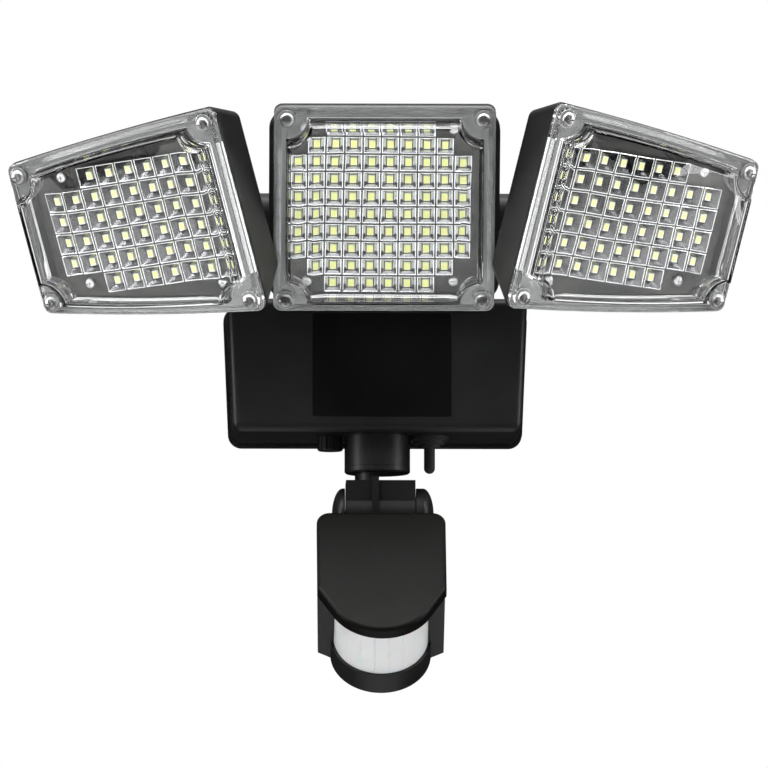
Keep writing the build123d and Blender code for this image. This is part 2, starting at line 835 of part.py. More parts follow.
def dial_places():
    return [(side * dial_spacing / 2, dial_back) for side in (-1, 1)]


def dial_wells():
    wells = []
    for x, y in dial_places():
        wells.append(rod_z(x, y, dial_radius + swing_gap, -overcut, dial_height / 2))
        wells.append(rod_z(x, y, dial_spindle + running_gap, 0, sensor_wall + overcut))
    return group(wells)


def adjust_dial(index):
    """Slotted dial on the sensor's underside, with its spindle."""
    x, y = dial_places()[index]
    top = dial_height / 2 - seat_gap
    dial = rod_z(x, y, dial_radius, -dial_height / 2, top)
    dial += rod_z(x, y, dial_spindle, top, sensor_wall + dial_spindle_end)
    half = dial_radius - dial_slot
    return dial - block(x - half, x + half, y - dial_slot / 2, y + dial_slot / 2,
                        -dial_height, -dial_slot_rest)


def sensor_pin():
    half = barrel_width / 2 + swing_gap + ear_thickness - pin_inset
    middle = sensor_x + ear_offset
    return rod_x(service_y, hinge_z, sensor_pin_radius, middle - half, middle + half)


# -------------------------------------------------------- post and cross arm
def swivel_frame(side, shape):
    swivel = Pos(head_shift + side * swivel_reach, arm_y, arm_z)
    return swivel * Rot(Y=arm_lean * side) * shape


def head_post():
    """Foot plate, upright and the sleeve that grips the cross arm."""
    top = case_height / 2
    foot_half = post_foot_width / 2
    post = block(head_shift - foot_half, head_shift + foot_half, arm_y - post_depth / 2,
                 arm_y + post_depth / 2, top, top + post_foot_height)
    half = post_width / 2
    post += block(head_shift - half, head_shift + half, arm_y - post_column,
                  arm_y + post_column, top, arm_z)
    post += rod_x(arm_y, arm_z, arm_radius + arm_sleeve, head_shift - half, head_shift + half)
    post -= rod_x(arm_y, arm_z, arm_radius + running_gap, head_shift - half, head_shift + half)
    for x in post_screw_places():
        post -= rod_z(x, arm_y, post_screw_radius + seat_gap, top, top + post_foot_height)
    return post - rod_z(head_shift, arm_y, wire_bore, top, arm_z)


def post_screw_places():
    reach = post_foot_width / 2 - post_screw_inset
    return [head_shift - reach, head_shift + reach]


def cross_arm():
    """Tube across the lamp with a swivel boss at each end."""
    reach = swivel_reach - swivel_boss_radius / 2
    arm = rod_x(arm_y, arm_z, arm_radius, head_shift - reach, head_shift + reach)
    half = swivel_boss_height / 2
    for side in (-1, 1):
        arm += swivel_frame(side, rod_z(0, 0, swivel_boss_radius, -half, half))
    inner = reach - swivel_boss_radius
    arm -= rod_x(arm_y, arm_z, arm_bore, head_shift - inner, head_shift + inner)
    for side in (-1, 1):
        arm -= swivel_frame(side, rod_z(0, 0, swivel_pin_radius + running_gap, -half, half))
    return arm


def post_screws():
    screws = []
    top = case_height / 2 + post_foot_height
    for x in post_screw_places():
        screw = rod_z(x, arm_y, post_screw_head, top, top + post_head_rise)
        end = top - post_foot_height - case_wall - post_screw_end
        screw += rod_z(x, arm_y, post_screw_radius, end, top)
        screws.append(screw)
    return group(screws)


def knuckle(head):
    """Fork on the arm's swivel boss, with the tilt barrel in front of it."""
    half = swivel_boss_height / 2 + swing_gap
    outer = half + knuckle_plate
    wide = knuckle_barrel_width / 2
    web = -swivel_boss_radius - web_gap
    front = -knuckle_reach
    fork = rod_z(0, 0, swivel_boss_radius, -outer, -half)
    fork += rod_z(0, 0, swivel_boss_radius, half, outer)
    for low, high, rear in ((-outer, -half, 0), (half, outer, 0), (-outer, outer, web)):
        fork += block(-wide, wide, front + web_setback, rear, low, high)
    fork += rod_x(front, 0, knuckle_barrel_radius, -wide, wide)
    fork -= rod_x(front, 0, tilt_pin_radius + running_gap, -wide, wide)
    fork += rod_z(0, 0, swivel_pin_radius, -outer, outer)
    return head.place_knuckle(fork)


def tilt_pin(head):
    half = knuckle_barrel_width / 2 + swing_gap + tilt_ear
    pin = rod_x(head.hinge_depth, -head.hinge_drop, tilt_pin_radius, -half, half)
    for side in (-1, 1):
        ends = sorted((side * half, side * (half + pin_head_rim)))
        pin += rod_x(head.hinge_depth, -head.hinge_drop, tilt_pin_radius + pin_head_rim, *ends)
    return head.place(pin)


# ---------------------------------------------------------------- lamp head
def head_places(head):
    """Depths of the reflector, the board and its back, from the rim plane."""
    board_front = reflector_front + head.pocket_depth
    return board_front, board_front + board_thickness


def tapered(head, inset, depth):
    """Straight rim and tapering back of the shell, made smaller by inset."""
    rim = Plane.XZ.offset(-rim_depth) * head.outline(inset)
    back = Plane.XZ.offset(-depth) * head.outline(inset, 1)
    return slab(head.outline(inset), rim_depth, 0) + loft([rim, back])


def head_shell(head):
    board_front, board_back = head_places(head)
    shell = tapered(head, 0, head.shell_depth)
    if head.side == 0:
        lip = RectangleRounded(head.width + 2 * lip_width, head.outer_height - 2 * lip_drop, lip_corner)
        shell += slab(lip, lip_depth, 0)
    shell -= tapered(head, head_wall, head.shell_depth - head_wall)
    solid = tapered(head, boss_solid_inset, head.shell_depth - boss_solid_inset)
    for x, z in head.bosses():
        shell += rod_y(x, z, boss_radius, head.shell_depth, 0) & solid
    for x, z in head.board_screws:
        post = rod_y(x, z, board_screw_radius + board_post_wall, head.shell_depth, board_back)
        shell += post & solid
        pilot_end = board_back + board_screw_grip + pilot_spare
        shell -= rod_y(x, z, board_screw_radius + screw_bite, pilot_end, board_back)
    for x, z in head.bosses():
        depth = cover_screw_length - boss_rise() + pilot_spare
        shell -= rod_y(x, z, cover_screw_radius + screw_bite, depth, 0)
    shell += head_ears(head)
    shell -= slab(seal_ring(head), seal_width, 0)
    return head.place(shell)


def head_ears(head):
    """Hinge ears behind the shell."""
    y = head.hinge_depth
    z = -head.hinge_drop
    back = head.shell_depth - head_wall / 2
    if head.side == 0:
        inner = post_width / 2 + swing_gap + lug_gap
        outer = inner + lug_width
        radius = lug_radius
        bore = arm_radius + running_gap
    else:
        inner = knuckle_barrel_width / 2 + swing_gap
        outer = inner + tilt_ear
        radius = knuckle_barrel_radius + tilt_ear_rim
        bore = tilt_pin_radius + running_gap
    ears = []
    for side in (-1, 1):
        x0, x1 = sorted((side * inner, side * outer))
        ear = rod_x(y, z, radius, x0, x1) + block(x0, x1, back, y, z - radius, z + radius)
        ears.append(ear - rod_x(y, z, bore, x0, x1))
    return group(ears)


def seal_ring(head):
    near = (head_wall - seal_width) / 2
    return head.outline(near) - head.outline(near + seal_width)


def head_seal(head):
    return head.place(slab(seal_ring(head), seal_width, 0))


def boss_rise():
    """Height of the cover's corner bosses above the rim plane."""
    return flange_thickness + boss_height


def head_cover(head):
    """Clear cover: flange, raised window with corner cut-outs, screw bosses."""
    cut = [Pos(x, z) * Circle(boss_clear) for x, z in head.bosses()]
    cut_inner = [Pos(x, z) * Circle(boss_clear + cover_wall) for x, z in head.bosses()]
    window = head.outline(cover_inset) - cut
    hollow = head.outline(cover_inset + cover_wall) - cut_inner
    cover = slab(head.outline(), 0, -flange_thickness)
    cover += slab(window, -flange_thickness, -cover_height)
    cover -= slab(hollow, 0, -cover_height + cover_wall)
    for x, z in head.bosses():
        cover += rod_y(x, z, boss_radius, -flange_thickness, -boss_rise())
        cover -= rod_y(x, z, cover_screw_radius + cover_hole_gap, 0, -boss_rise())
    return head.place(cover)


def head_cover_screws(head):
    screws = []
    front = -boss_rise()
    for x, z in head.bosses():
        tip = front - cover_screw_rise
        screw = rod_y(x, z, cover_screw_head, front, tip)
        screw += rod_y(x, z, cover_screw_radius, front + cover_screw_length, front)
        screws.append(screw - cross_slot(x, z, tip, tip + slot_depth, cover_screw_slot / 2))
    return head.place(group(screws))


def head_board(head):
    front, back = head_places(head)
    holes = [Pos(x, z) * Circle(boss_radius + board_edge_gap) for x, z in head.bosses()]
    sink = (back - rim_depth) / (head.shell_depth - head_wall - rim_depth)
    board = slab(head.outline(head_wall + board_edge_gap, sink) - holes, back, front)
    for x, z in head.board_screws:
        board -= rod_y(x, z, board_screw_radius + board_hole_gap, back, front)
    return head.place(board)


def head_board_screws(head):
    front, back = head_places(head)
    screws = []
    for x, z in head.board_screws:
        screw = rod_y(x, z, board_screw_head, front, front - board_screw_rise)
        screws.append(screw + rod_y(x, z, board_screw_radius, back + board_screw_grip, front))
    return head.place(group(screws))


def head_leds(head):
    front, back = head_places(head)
    chip = slab(Rectangle(led_width, led_height), front, front - led_thickness)
    return head.place(group([Pos(x, 0, z) * chip for x, z in head.leds()]))


def head_reflector(head):
    """Grid with one square pyramid pocket round each LED."""
    front, back = reflector_front, head_places(head)[0]
    cell = slab(Rectangle(head.pitch, head.row_pitch), back, front)
    mouth_face = Rectangle(head.pitch - cell_rim, head.row_pitch - cell_rim)
    mouth = Plane.XZ.offset(-front) * mouth_face
    foot = Plane.XZ.offset(-back) * Rectangle(led_width + 2 * led_window, led_height + 2 * led_window)
    ring = cell - loft([mouth, foot])
    rows = {}
    for x, z in head.leds():
        rows.setdefault(z, []).append(Pos(x, 0, z) * ring)
    grid = None
    for pieces in rows.values():
        row = pieces[0].fuse(*pieces[1:])
        grid = row if grid is None else grid.fuse(row)
    return head.place(grid)


os.makedirs("parts", exist_ok=True)

save(wall_bracket(), "wall_bracket")
save(back_case(), "back_case")
save(front_case(), "front_case")
save(case_seal(), "case_seal")
save(case_screws(), "case_screws")
save(label_panel(), "label_panel")
save(battery_cells(), "battery_cells")
save(battery_holder(), "battery_holder")
save(control_board(), "control_board")
save(control_screws(), "control_screws")
save(charge_jack(), "charge_jack")
save(jack_cap(), "jack_cap")
save(switch_body(), "switch_body")
save(switch_boot(), "switch_boot")
save(switch_lever(), "switch_lever")
save(sensor_socket(), "sensor_socket")
save(neck_ring(), "neck_ring")
save(sensor_swivel(), "sensor_swivel")
save(place_sensor(sensor_body()), "sensor_body")
save(place_sensor(sensor_hood()), "sensor_hood")
save(place_sensor(sensor_lens()), "sensor_lens")
save(place_sensor(sensor_board()), "sensor_board")
save(place_sensor(adjust_dial(0)), "time_dial")
save(place_sensor(adjust_dial(1)), "dusk_dial")
save(sensor_pin(), "sensor_pin")
save(head_post(), "head_post")
save(post_screws(), "post_screws")
save(cross_arm(), "cross_arm")

heads = [Head("centre", 0), Head("left", -1), Head("right", 1)]
for head in heads:
    save(head_shell(head), head.name + "_shell")
    save(head_seal(head), head.name + "_seal")
    save(head_cover(head), head.name + "_cover")
    save(head_cover_screws(head), head.name + "_cover_screws")
    save(head_board(head), head.name + "_board")
    save(head_board_screws(head), head.name + "_board_screws")
    save(head_leds(head), head.name + "_leds")
    save(head_reflector(head), head.name + "_reflector")
    if head.side != 0:
        save(knuckle(head), head.name + "_knuckle")
        save(tilt_pin(head), head.name + "_tilt_pin")
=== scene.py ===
# %% [markdown]
# # A security light with three lamp heads and a motion sensor
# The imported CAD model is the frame: it says where every part is and how it moves.
# This lesson dresses it. Parts whose CAD shape is already right get a finish.
# Parts with more detail than a solid needs (covers, reflectors, LEDs, screws, lens)
# are made again here, in the same places.

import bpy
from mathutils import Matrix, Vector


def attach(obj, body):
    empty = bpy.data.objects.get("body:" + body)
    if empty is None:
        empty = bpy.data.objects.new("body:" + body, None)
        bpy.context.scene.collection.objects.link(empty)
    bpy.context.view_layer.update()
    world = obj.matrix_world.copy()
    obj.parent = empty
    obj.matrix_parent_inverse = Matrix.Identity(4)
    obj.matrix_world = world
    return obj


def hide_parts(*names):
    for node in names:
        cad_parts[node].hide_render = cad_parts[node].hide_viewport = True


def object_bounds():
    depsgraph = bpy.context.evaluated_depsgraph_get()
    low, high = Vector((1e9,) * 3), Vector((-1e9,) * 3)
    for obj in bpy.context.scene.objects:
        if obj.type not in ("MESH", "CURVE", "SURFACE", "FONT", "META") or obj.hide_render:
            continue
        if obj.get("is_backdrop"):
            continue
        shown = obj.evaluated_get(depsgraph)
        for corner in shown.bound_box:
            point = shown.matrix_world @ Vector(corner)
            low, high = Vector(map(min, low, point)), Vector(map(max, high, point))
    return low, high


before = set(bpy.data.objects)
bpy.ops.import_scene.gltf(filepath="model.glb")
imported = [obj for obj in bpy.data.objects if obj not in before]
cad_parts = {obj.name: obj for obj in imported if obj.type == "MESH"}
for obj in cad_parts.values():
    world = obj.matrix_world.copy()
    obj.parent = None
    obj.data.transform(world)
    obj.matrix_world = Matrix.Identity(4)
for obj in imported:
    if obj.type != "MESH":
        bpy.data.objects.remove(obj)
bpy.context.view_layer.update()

# %% Libraries and units
import math

import bmesh
import bpy
from mathutils import Matrix, Vector

MM = 0.001


def shift(x, y, z):
    """Move by millimetres."""
    return Matrix.Translation(Vector((x, y, z)) * MM)


def turn(axis, degrees):
    return Matrix.Rotation(math.radians(degrees), 4, axis)


# Flat work is drawn on a sheet: X right, Y up, Z towards the viewer.
# This stands the sheet up so that its front faces -Y.
STAND = turn("X", 90)
print("helpers ready")

# %% [markdown]
# ## Where the heads are
# Every head is drawn face on and then swivelled and tilted. The same few numbers
# as in the part's source give one matrix for each head, so a piece made here
# lands exactly on its CAD neighbours.

# %% Sizes and places of the heads
HEAD_SHIFT, ARM_Y, ARM_Z = 2.5, -42.0, 66.0
SWIVEL_REACH, KNUCKLE_REACH, ARM_LEAN = 77.7, 20.0, 4.6
FLANGE, COVER_HEIGHT, COVER_INSET, COVER_WALL = 2.4, 12.5, 5.0, 1.8
HEAD_CORNER, BOSS_INSET, BOSS_RADIUS, BOSS_CLEAR, BOSS_RISE = 3.6, 5.2, 4.0, 8.8, 4.0
REFLECTOR_FRONT = 1.5
# Head radius, rise, shank radius and shank length of the two kinds of screw, then their slot.
COVER_SCREW, BOARD_SCREW, SCREW_SLOT = (2.9, 1.8, 1.45, 9.0), (2.3, 1.5, 1.2, 6.0), 0.55
SCREW_HOLE = 1.75


class Head:
    """One lamp head, seen from the front. side is -1 left, 0 centre, 1 right.
    size is the width and the heights at the outer and inner ends. The side heads
    reach further towards the centre by inner_extra, and bow at their long edges."""

    def __init__(self, name, side):
        self.name, self.side = name, side
        self.body = name + "_head"
        if side == 0:
            self.size, self.inner_extra, self.led_drop = (92.0, 89.6, 89.6), 0.0, 0.0
            self.pitch, self.row_pitch, self.first_led = 7.7, 7.7, -36.4
            self.rows = [6, 8] + [10] * 6 + [8, 6]
            self.pocket_depth, hinge, self.bow = 2.4, (42.5, 16.4), 0.0
            self.screws = [(x, z) for x in (-32.6, 29.2) for z in (-33.7, 33.7)]
            start = shift(HEAD_SHIFT, ARM_Y, ARM_Z) @ turn("X", 25.0)
        else:
            self.size, self.inner_extra, self.led_drop = (98.2, 64.7, 88.8), 4.2, 0.6
            self.pitch, self.row_pitch, self.first_led = 9.14, 9.4, -32.8
            self.rows = [7, 9, 9, 9, 9, 7]
            self.pocket_depth, hinge, self.bow = 3.0, (38.0, 5.4), 1.0
            places = [(-27.6, -24.0), (-27.6, 24.0), (34.5, -31.7), (34.5, 31.7)]
            self.screws = [(-side * x, z) for x, z in places]
            start = shift(HEAD_SHIFT + side * SWIVEL_REACH, ARM_Y, ARM_Z)
            start = start @ turn("Y", ARM_LEAN * side) @ turn("Z", 30.0 * side)
            start = start @ shift(0, -KNUCKLE_REACH, 0) @ turn("X", 20.9 if side < 0 else 18.3)
        self.matrix = start @ shift(0, -hinge[0], hinge[1]) @ STAND

    def corners(self):
        """The rim's corners, anticlockwise from the lower left."""
        width, outer, inner = (size / 2 for size in self.size)
        left, right = (outer, inner) if self.side <= 0 else (inner, outer)
        low = width + self.inner_extra * (self.side > 0)
        high = width + self.inner_extra * (self.side < 0)
        return [(-low, -left), (high, -right), (high, right), (-low, left)]

    def leds(self):
        """Centres of the LEDs on the sheet."""
        places, longest = [], max(self.rows)
        for row, count in enumerate(self.rows):
            y = ((len(self.rows) - 1) / 2 - row) * self.row_pitch - self.led_drop
            skip = (longest - count) // 2 if self.side == 0 else longest - count
            for column in range(skip, skip + count):
                x = self.first_led + column * self.pitch
                places.append((-x if self.side == 1 else x, y))
        return places


HEADS = [Head("centre", 0), Head("left", -1), Head("right", 1)]
print("LEDs", [len(head.leds()) for head in HEADS])

# %% [markdown]
# ## Node helpers
# Shader trees and geometry trees are both nodes and links. One small function
# adds a node, sets its values and joins what comes in, so a tree reads
# from top to bottom like a recipe.

# %% One function for every node
def add(tree, kind, values=None, **settings):
    """Add a node. values go to its input sockets: a number, or another node's output."""
    made = tree.nodes.new(kind)
    for key, value in settings.items():
        setattr(made, key, value)
    for key, value in (values or {}).items():
        if isinstance(value, bpy.types.NodeSocket):
            tree.links.new(value, made.inputs[key])
        else:
            made.inputs[key].default_value = value
    return made


def new_group(name, kind, inputs, outputs):
    """A node group with named sockets. Returns it with its inner input and output sockets."""
    tree = bpy.data.node_groups.new(name, kind)
    for label, socket in inputs.items():
        tree.interface.new_socket(label, in_out="INPUT", socket_type="NodeSocket" + socket)
    for label, socket in outputs.items():
        tree.interface.new_socket(label, in_out="OUTPUT", socket_type="NodeSocket" + socket)
    inside = tree.nodes.new("NodeGroupInput").outputs
    outside = tree.nodes.new("NodeGroupOutput").inputs
    return tree, inside, outside


def maths(tree, operation, *values):
    """A Math node's result."""
    return add(tree, "ShaderNodeMath", dict(enumerate(values)), operation=operation).outputs[0]


print("node helpers ready")

# %% [markdown]
# ## Shared surface effects
# Real moulded plastic is never one flat colour. It has a fine grain, slow changes
# of gloss, a few specks of dust and some hair-fine rubs. Each effect is a group that
# gives out only masks and heights, so every material can use it at its own strength.

# %% Moulded grain
grain_group, given, result = new_group(
    "moulded_grain", "ShaderNodeTree",
    {"Grain Scale": "Float", "Patch Scale": "Float"},
    {"Height": "Float", "Patch": "Float"})
place = add(grain_group, "ShaderNodeTexCoord").outputs["Object"]
fine = add(grain_group, "ShaderNodeTexNoise",
           {"Vector": place, "Scale": given["Grain Scale"], "Detail": 3.0, "Roughness": 0.6})
cells = add(grain_group, "ShaderNodeTexVoronoi", {"Vector": place, "Scale": given["Grain Scale"]})
both = maths(grain_group, "MULTIPLY_ADD", cells.outputs["Distance"], 0.6, fine.outputs["Fac"])
slow = add(grain_group, "ShaderNodeTexNoise",
           {"Vector": place, "Scale": given["Patch Scale"], "Detail": 5.0, "Roughness": 0.55})
grain_group.links.new(both, result["Height"])
grain_group.links.new(slow.outputs["Fac"], result["Patch"])

# %% Dust specks and rubs
wear_group, given, result = new_group(
    "dust_and_rubs", "ShaderNodeTree",
    {"Speck Scale": "Float", "Rub Scale": "Float"},
    {"Dust": "Float", "Rubs": "Float"})
place = add(wear_group, "ShaderNodeTexCoord").outputs["Object"]
specks = add(wear_group, "ShaderNodeTexVoronoi", {"Vector": place, "Scale": given["Speck Scale"]})
dust = add(wear_group, "ShaderNodeMapRange",
           {"Value": specks.outputs["Distance"], "From Min": 0.12, "From Max": 0.05})
patches = add(wear_group, "ShaderNodeTexNoise", {"Vector": place, "Scale": 30.0})
sparse = add(wear_group, "ShaderNodeMapRange",
             {"Value": patches.outputs["Fac"], "From Min": 0.55, "From Max": 0.75})
stretched = add(wear_group, "ShaderNodeMapping",
                {"Vector": place, "Rotation": (0.3, 0.5, 0.9), "Scale": (1.0, 14.0, 14.0)})
streaks = add(wear_group, "ShaderNodeTexNoise",
              {"Vector": stretched.outputs[0], "Scale": given["Rub Scale"], "Detail": 2.0})
rubs = add(wear_group, "ShaderNodeMapRange",
           {"Value": streaks.outputs["Fac"], "From Min": 0.62, "From Max": 0.72})
wear_group.links.new(maths(wear_group, "MULTIPLY", dust.outputs[0], sparse.outputs[0]), result["Dust"])
wear_group.links.new(rubs.outputs[0], result["Rubs"])
print("surface groups", grain_group.name, wear_group.name)

# %% [markdown]
# ## Finishes
# A finish is a Principled shader whose colour, roughness and bump are varied by the
# two groups. One function covers the plastics, the rubber and the metals, because
# they differ only in numbers. Clear plastic and the lens need their own recipe.

# %% A varied opaque finish
def finish(name, colour, roughness, metallic=0.0, grain=900.0, depth=0.02, patch=35.0,
           vary=0.25, dust=0.0, rubs=0.0, **fixed):
    """A material: vary changes colour and gloss slowly, dust and rubs lie on top."""
    material = bpy.data.materials.new(name)
    material.use_nodes = True
    tree = material.node_tree
    shader = tree.nodes["Principled BSDF"]
    skin = add(tree, "ShaderNodeGroup", {"Grain Scale": grain, "Patch Scale": patch},
               node_tree=grain_group)
    wear = add(tree, "ShaderNodeGroup", {"Speck Scale": 420.0, "Rub Scale": 60.0}, node_tree=wear_group)
    light = [min(c * (1 + vary), 1.0) for c in colour] + [1]
    dark = [c * (1 - vary) for c in colour] + [1]
    tone = add(tree, "ShaderNodeMix", {0: skin.outputs["Patch"], 6: dark, 7: light}, data_type="RGBA")
    dusted = add(tree, "ShaderNodeMix",
                 {0: maths(tree, "MULTIPLY", wear.outputs["Dust"], dust),
                  6: tone.outputs[2], 7: (0.55, 0.54, 0.52, 1)}, data_type="RGBA")
    tree.links.new(dusted.outputs[2], shader.inputs["Base Color"])
    gloss = add(tree, "ShaderNodeMapRange",
                {"Value": skin.outputs["Patch"], "From Min": 0.3, "From Max": 0.7,
                 "To Min": roughness * (1 - vary * 0.6), "To Max": roughness * (1 + vary * 0.6)})
    rubbed = maths(tree, "MULTIPLY_ADD", wear.outputs["Rubs"], rubs, gloss.outputs[0])
    tree.links.new(rubbed, shader.inputs["Roughness"])
    bump = add(tree, "ShaderNodeBump", {"Height": skin.outputs["Height"], "Strength": 1.0,
                                        "Distance": depth * MM})
    tree.links.new(bump.outputs[0], shader.inputs["Normal"])
    shader.inputs["Metallic"].default_value = metallic
    for key, value in fixed.items():
        shader.inputs[key.replace("_", " ")].default_value = value
    return material


satin_black = finish("satin_black_moulding", (0.009, 0.009, 0.0093), 0.4, dust=0.06, rubs=0.08,
                     Specular_IOR_Level=0.36)
hood_black = finish("hood_black_moulding", (0.0042, 0.0044, 0.0037), 0.38, dust=0.05, rubs=0.1, grain=600,
                    Specular_IOR_Level=0.1)
label_film = finish("bare_label_film", (0.0028, 0.0028, 0.003), 0.4, grain=1600, depth=0.006,
                    Specular_IOR_Level=0.15)
soft_rubber = finish("black_rubber", (0.018, 0.018, 0.019), 0.62, grain=1200, depth=0.03, dust=0.2)
coated_steel = finish("powder_coated_steel", (0.03, 0.03, 0.032), 0.5, grain=700, depth=0.05)
plated_steel = finish("plated_screw_steel", (0.86, 0.86, 0.85), 0.36, 1.0, depth=0.008, rubs=0.3)
silvering = finish("silvered_pocket_wall", (0.86, 0.87, 0.88), 0.09, 1.0, grain=500, depth=0.012,
                   vary=0.08, rubs=0.1)
# The pocket walls are the lip's silver painted darker: painted shade, darkest in the side heads' deep
# pockets.
shallow_wall_painted_shade = finish("shallow_pocket_wall_painted_shade", (0.62, 0.63, 0.65), 0.12, 1.0, grain=500, depth=0.012,
                      vary=0.35, rubs=0.1, patch=120.0)
deep_wall_painted_shade = finish("deep_pocket_wall_painted_shade", (0.17, 0.17, 0.175), 0.14, 1.0, grain=500, depth=0.012,
                   vary=0.4, rubs=0.1, patch=120.0)
# The trench between pockets is part of the same silvered reflector, painted near-black as painted shade.
trench_painted_shade = finish("trench_painted_shade", (0.02, 0.02, 0.021), 0.3)
# Both LED finishes glow weakly. This is painted light, as the LEDs are not switched on.
package_painted_glow = finish("led_package", (0.92, 0.92, 0.90), 0.4, grain=2500, depth=0.005, vary=0.04,
                   Emission_Color=(1.0, 1.0, 0.97, 1), Emission_Strength=0.08)
phosphor = finish("led_phosphor", (0.88, 0.92, 0.30), 0.32, grain=3500, depth=0.02, vary=0.1,
                  patch=90.0, Emission_Color=(0.84, 0.88, 0.32, 1), Emission_Strength=0.42)
cell_wrap = finish("cell_shrink_wrap", (0.10, 0.36, 0.22), 0.25, vary=0.1)
green_mask = finish("green_solder_mask", (0.03, 0.17, 0.08), 0.32, vary=0.2, patch=160.0)
grey_dial = finish("grey_dial_plastic", (0.24, 0.24, 0.24), 0.45)
print("finishes", len(bpy.data.materials))

# %% [markdown]
# The lamp boards have black solder mask. On a real board the copper under the mask
# shows as wide, slightly raised bands, and the mask itself is a little cloudy.
# Stretched noise gives the clouds.

# %% Black circuit board
def board_finish(name):
    material = finish(name, (0.02, 0.019, 0.018), 0.3, grain=1500, depth=0.01)
    tree = material.node_tree
    shader = tree.nodes["Principled BSDF"]
    place = add(tree, "ShaderNodeTexCoord").outputs["Object"]
    stretched = add(tree, "ShaderNodeMapping", {"Vector": place, "Scale": (22.0, 60.0, 90.0)})
    cloud = add(tree, "ShaderNodeTexNoise", {"Vector": stretched.outputs[0], "Scale": 1.0, "Detail": 6.0})
    colour = add(tree, "ShaderNodeMix",
                 {0: add(tree, "ShaderNodeMapRange", {"Value": cloud.outputs["Fac"], "From Min": 0.42,
                                                      "From Max": 0.68}).outputs[0],
                  6: (0.006, 0.006, 0.006, 1), 7: (0.05, 0.044, 0.038, 1)}, data_type="RGBA")
    tree.links.new(colour.outputs[2], shader.inputs["Base Color"])
    return material


black_mask = board_finish("black_solder_mask")
print("board finish", black_mask.name)

# %% [markdown]
# Clear polycarbonate bends light, so it is real glass to the renderer. A sealed box
# of it would keep the lamps out, because a shadow ray can't bend. So light
# passes straight through for shadow rays only. The ridged flange of a real cover
# gathers light and looks pale. That paleness is a painted highlight: the flange gets the same plastic with a
# little less clearness.

# %% Clear cover plastic
def clear_plastic(name, colour, clearness):
    material = bpy.data.materials.new(name)
    material.use_nodes = True
    tree = material.node_tree
    shader = tree.nodes["Principled BSDF"]
    shader.inputs["Base Color"].default_value = colour
    shader.inputs["Transmission Weight"].default_value = clearness
    shader.inputs["IOR"].default_value = 1.57
    skin = add(tree, "ShaderNodeGroup", {"Grain Scale": 60.0, "Patch Scale": 40.0},
               node_tree=grain_group)
    wear = add(tree, "ShaderNodeGroup", {"Speck Scale": 500.0, "Rub Scale": 80.0}, node_tree=wear_group)
    haze = maths(tree, "MULTIPLY_ADD", wear.outputs["Rubs"], 0.02,
                 maths(tree, "MULTIPLY_ADD", wear.outputs["Dust"], 0.1, 0.004))
    tree.links.new(haze, shader.inputs["Roughness"])
    bump = add(tree, "ShaderNodeBump", {"Height": skin.outputs["Height"], "Distance": 0.008 * MM})
    tree.links.new(bump.outputs[0], shader.inputs["Normal"])
    through = add(tree, "ShaderNodeBsdfTransparent", {"Color": (0.94, 0.95, 0.95, 1)})
    path = add(tree, "ShaderNodeLightPath")
    mixed = add(tree, "ShaderNodeMixShader",
                {0: path.outputs["Is Shadow Ray"], 1: shader.outputs[0], 2: through.outputs[0]})
    tree.links.new(mixed.outputs[0], tree.nodes["Material Output"].inputs["Surface"])
    return material


clear_cover = clear_plastic("clear_polycarbonate", (0.985, 0.99, 0.99, 1), 1.0)
# The flange copy is less clear than the cover. This is a painted highlight for the light the flange gathers.
flange_painted_highlight = clear_plastic("bright_flange_painted_highlight", (0.92, 0.93, 0.93, 1), 0.78)
milky = finish("milky_lens", (0.86, 0.87, 0.87), 0.3, grain=800, depth=0.01, vary=0.03,
               Subsurface_Weight=0.5, Subsurface_Scale=0.002)
print("clear and milky plastics ready")

# %% [markdown]
# ## Finish for every CAD part
# The solids that keep their CAD shape only need a finish. A short table of
# name endings gives each node its material.

# %% Give the nodes their finishes
by_name = {
    "bracket": coated_steel, "screws": plated_steel, "pin": plated_steel, "seal": soft_rubber,
    "label_panel": label_film, "battery_cells": cell_wrap, "switch_boot": soft_rubber,
    "switch_lever": soft_rubber, "control_board": green_mask, "sensor_board": green_mask,
    "switch_body": plated_steel, "dial": grey_dial, "sensor_hood": hood_black,
    "_cover": clear_cover, "_leds": package_painted_glow, "_reflector": silvering, "sensor_lens": milky,
}


def finish_of(node):
    if node.endswith("_board") and node.split("_")[0] in ("centre", "left", "right"):
        return black_mask
    for ending, material in by_name.items():
        if node.endswith(ending):
            return material
    return satin_black


for name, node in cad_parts.items():
    node.data.materials.clear()
    node.data.materials.append(finish_of(name))
print("finished nodes", len(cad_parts))

# %% [markdown]
# ## Small parts by Geometry Nodes
# The lamp has nearly two hundred LEDs in as many reflector pockets. Each is drawn once
# as a stack of terraces: push a face out, resize it, push again. A tree then
# copies it to every point of the grid.

# %% The terrace step
TERRACE, given, result = new_group(
    "terrace", "GeometryNodeTree",
    {"Geometry": "Geometry", "Top": "Bool", "Half Width": "Float", "Half Height": "Float",
     "Level": "Float"},
    {"Geometry": "Geometry", "Top": "Bool", "Side": "Bool"})
pushed = add(TERRACE, "GeometryNodeExtrudeMesh",
             {"Mesh": given["Geometry"], "Selection": given["Top"], "Offset Scale": 0.0,
              "Individual": False}, mode="FACES")
where = add(TERRACE, "GeometryNodeInputPosition").outputs[0]
sign = add(TERRACE, "ShaderNodeVectorMath", {0: where}, operation="SIGN").outputs[0]
half = add(TERRACE, "ShaderNodeCombineXYZ", {"X": given["Half Width"], "Y": given["Half Height"]})
spread = add(TERRACE, "ShaderNodeVectorMath", {0: sign, 1: half.outputs[0]}, operation="MULTIPLY")
raised = add(TERRACE, "ShaderNodeVectorMath",
             {0: spread.outputs[0],
              1: add(TERRACE, "ShaderNodeCombineXYZ", {"Z": given["Level"]}).outputs[0]},
             operation="ADD")
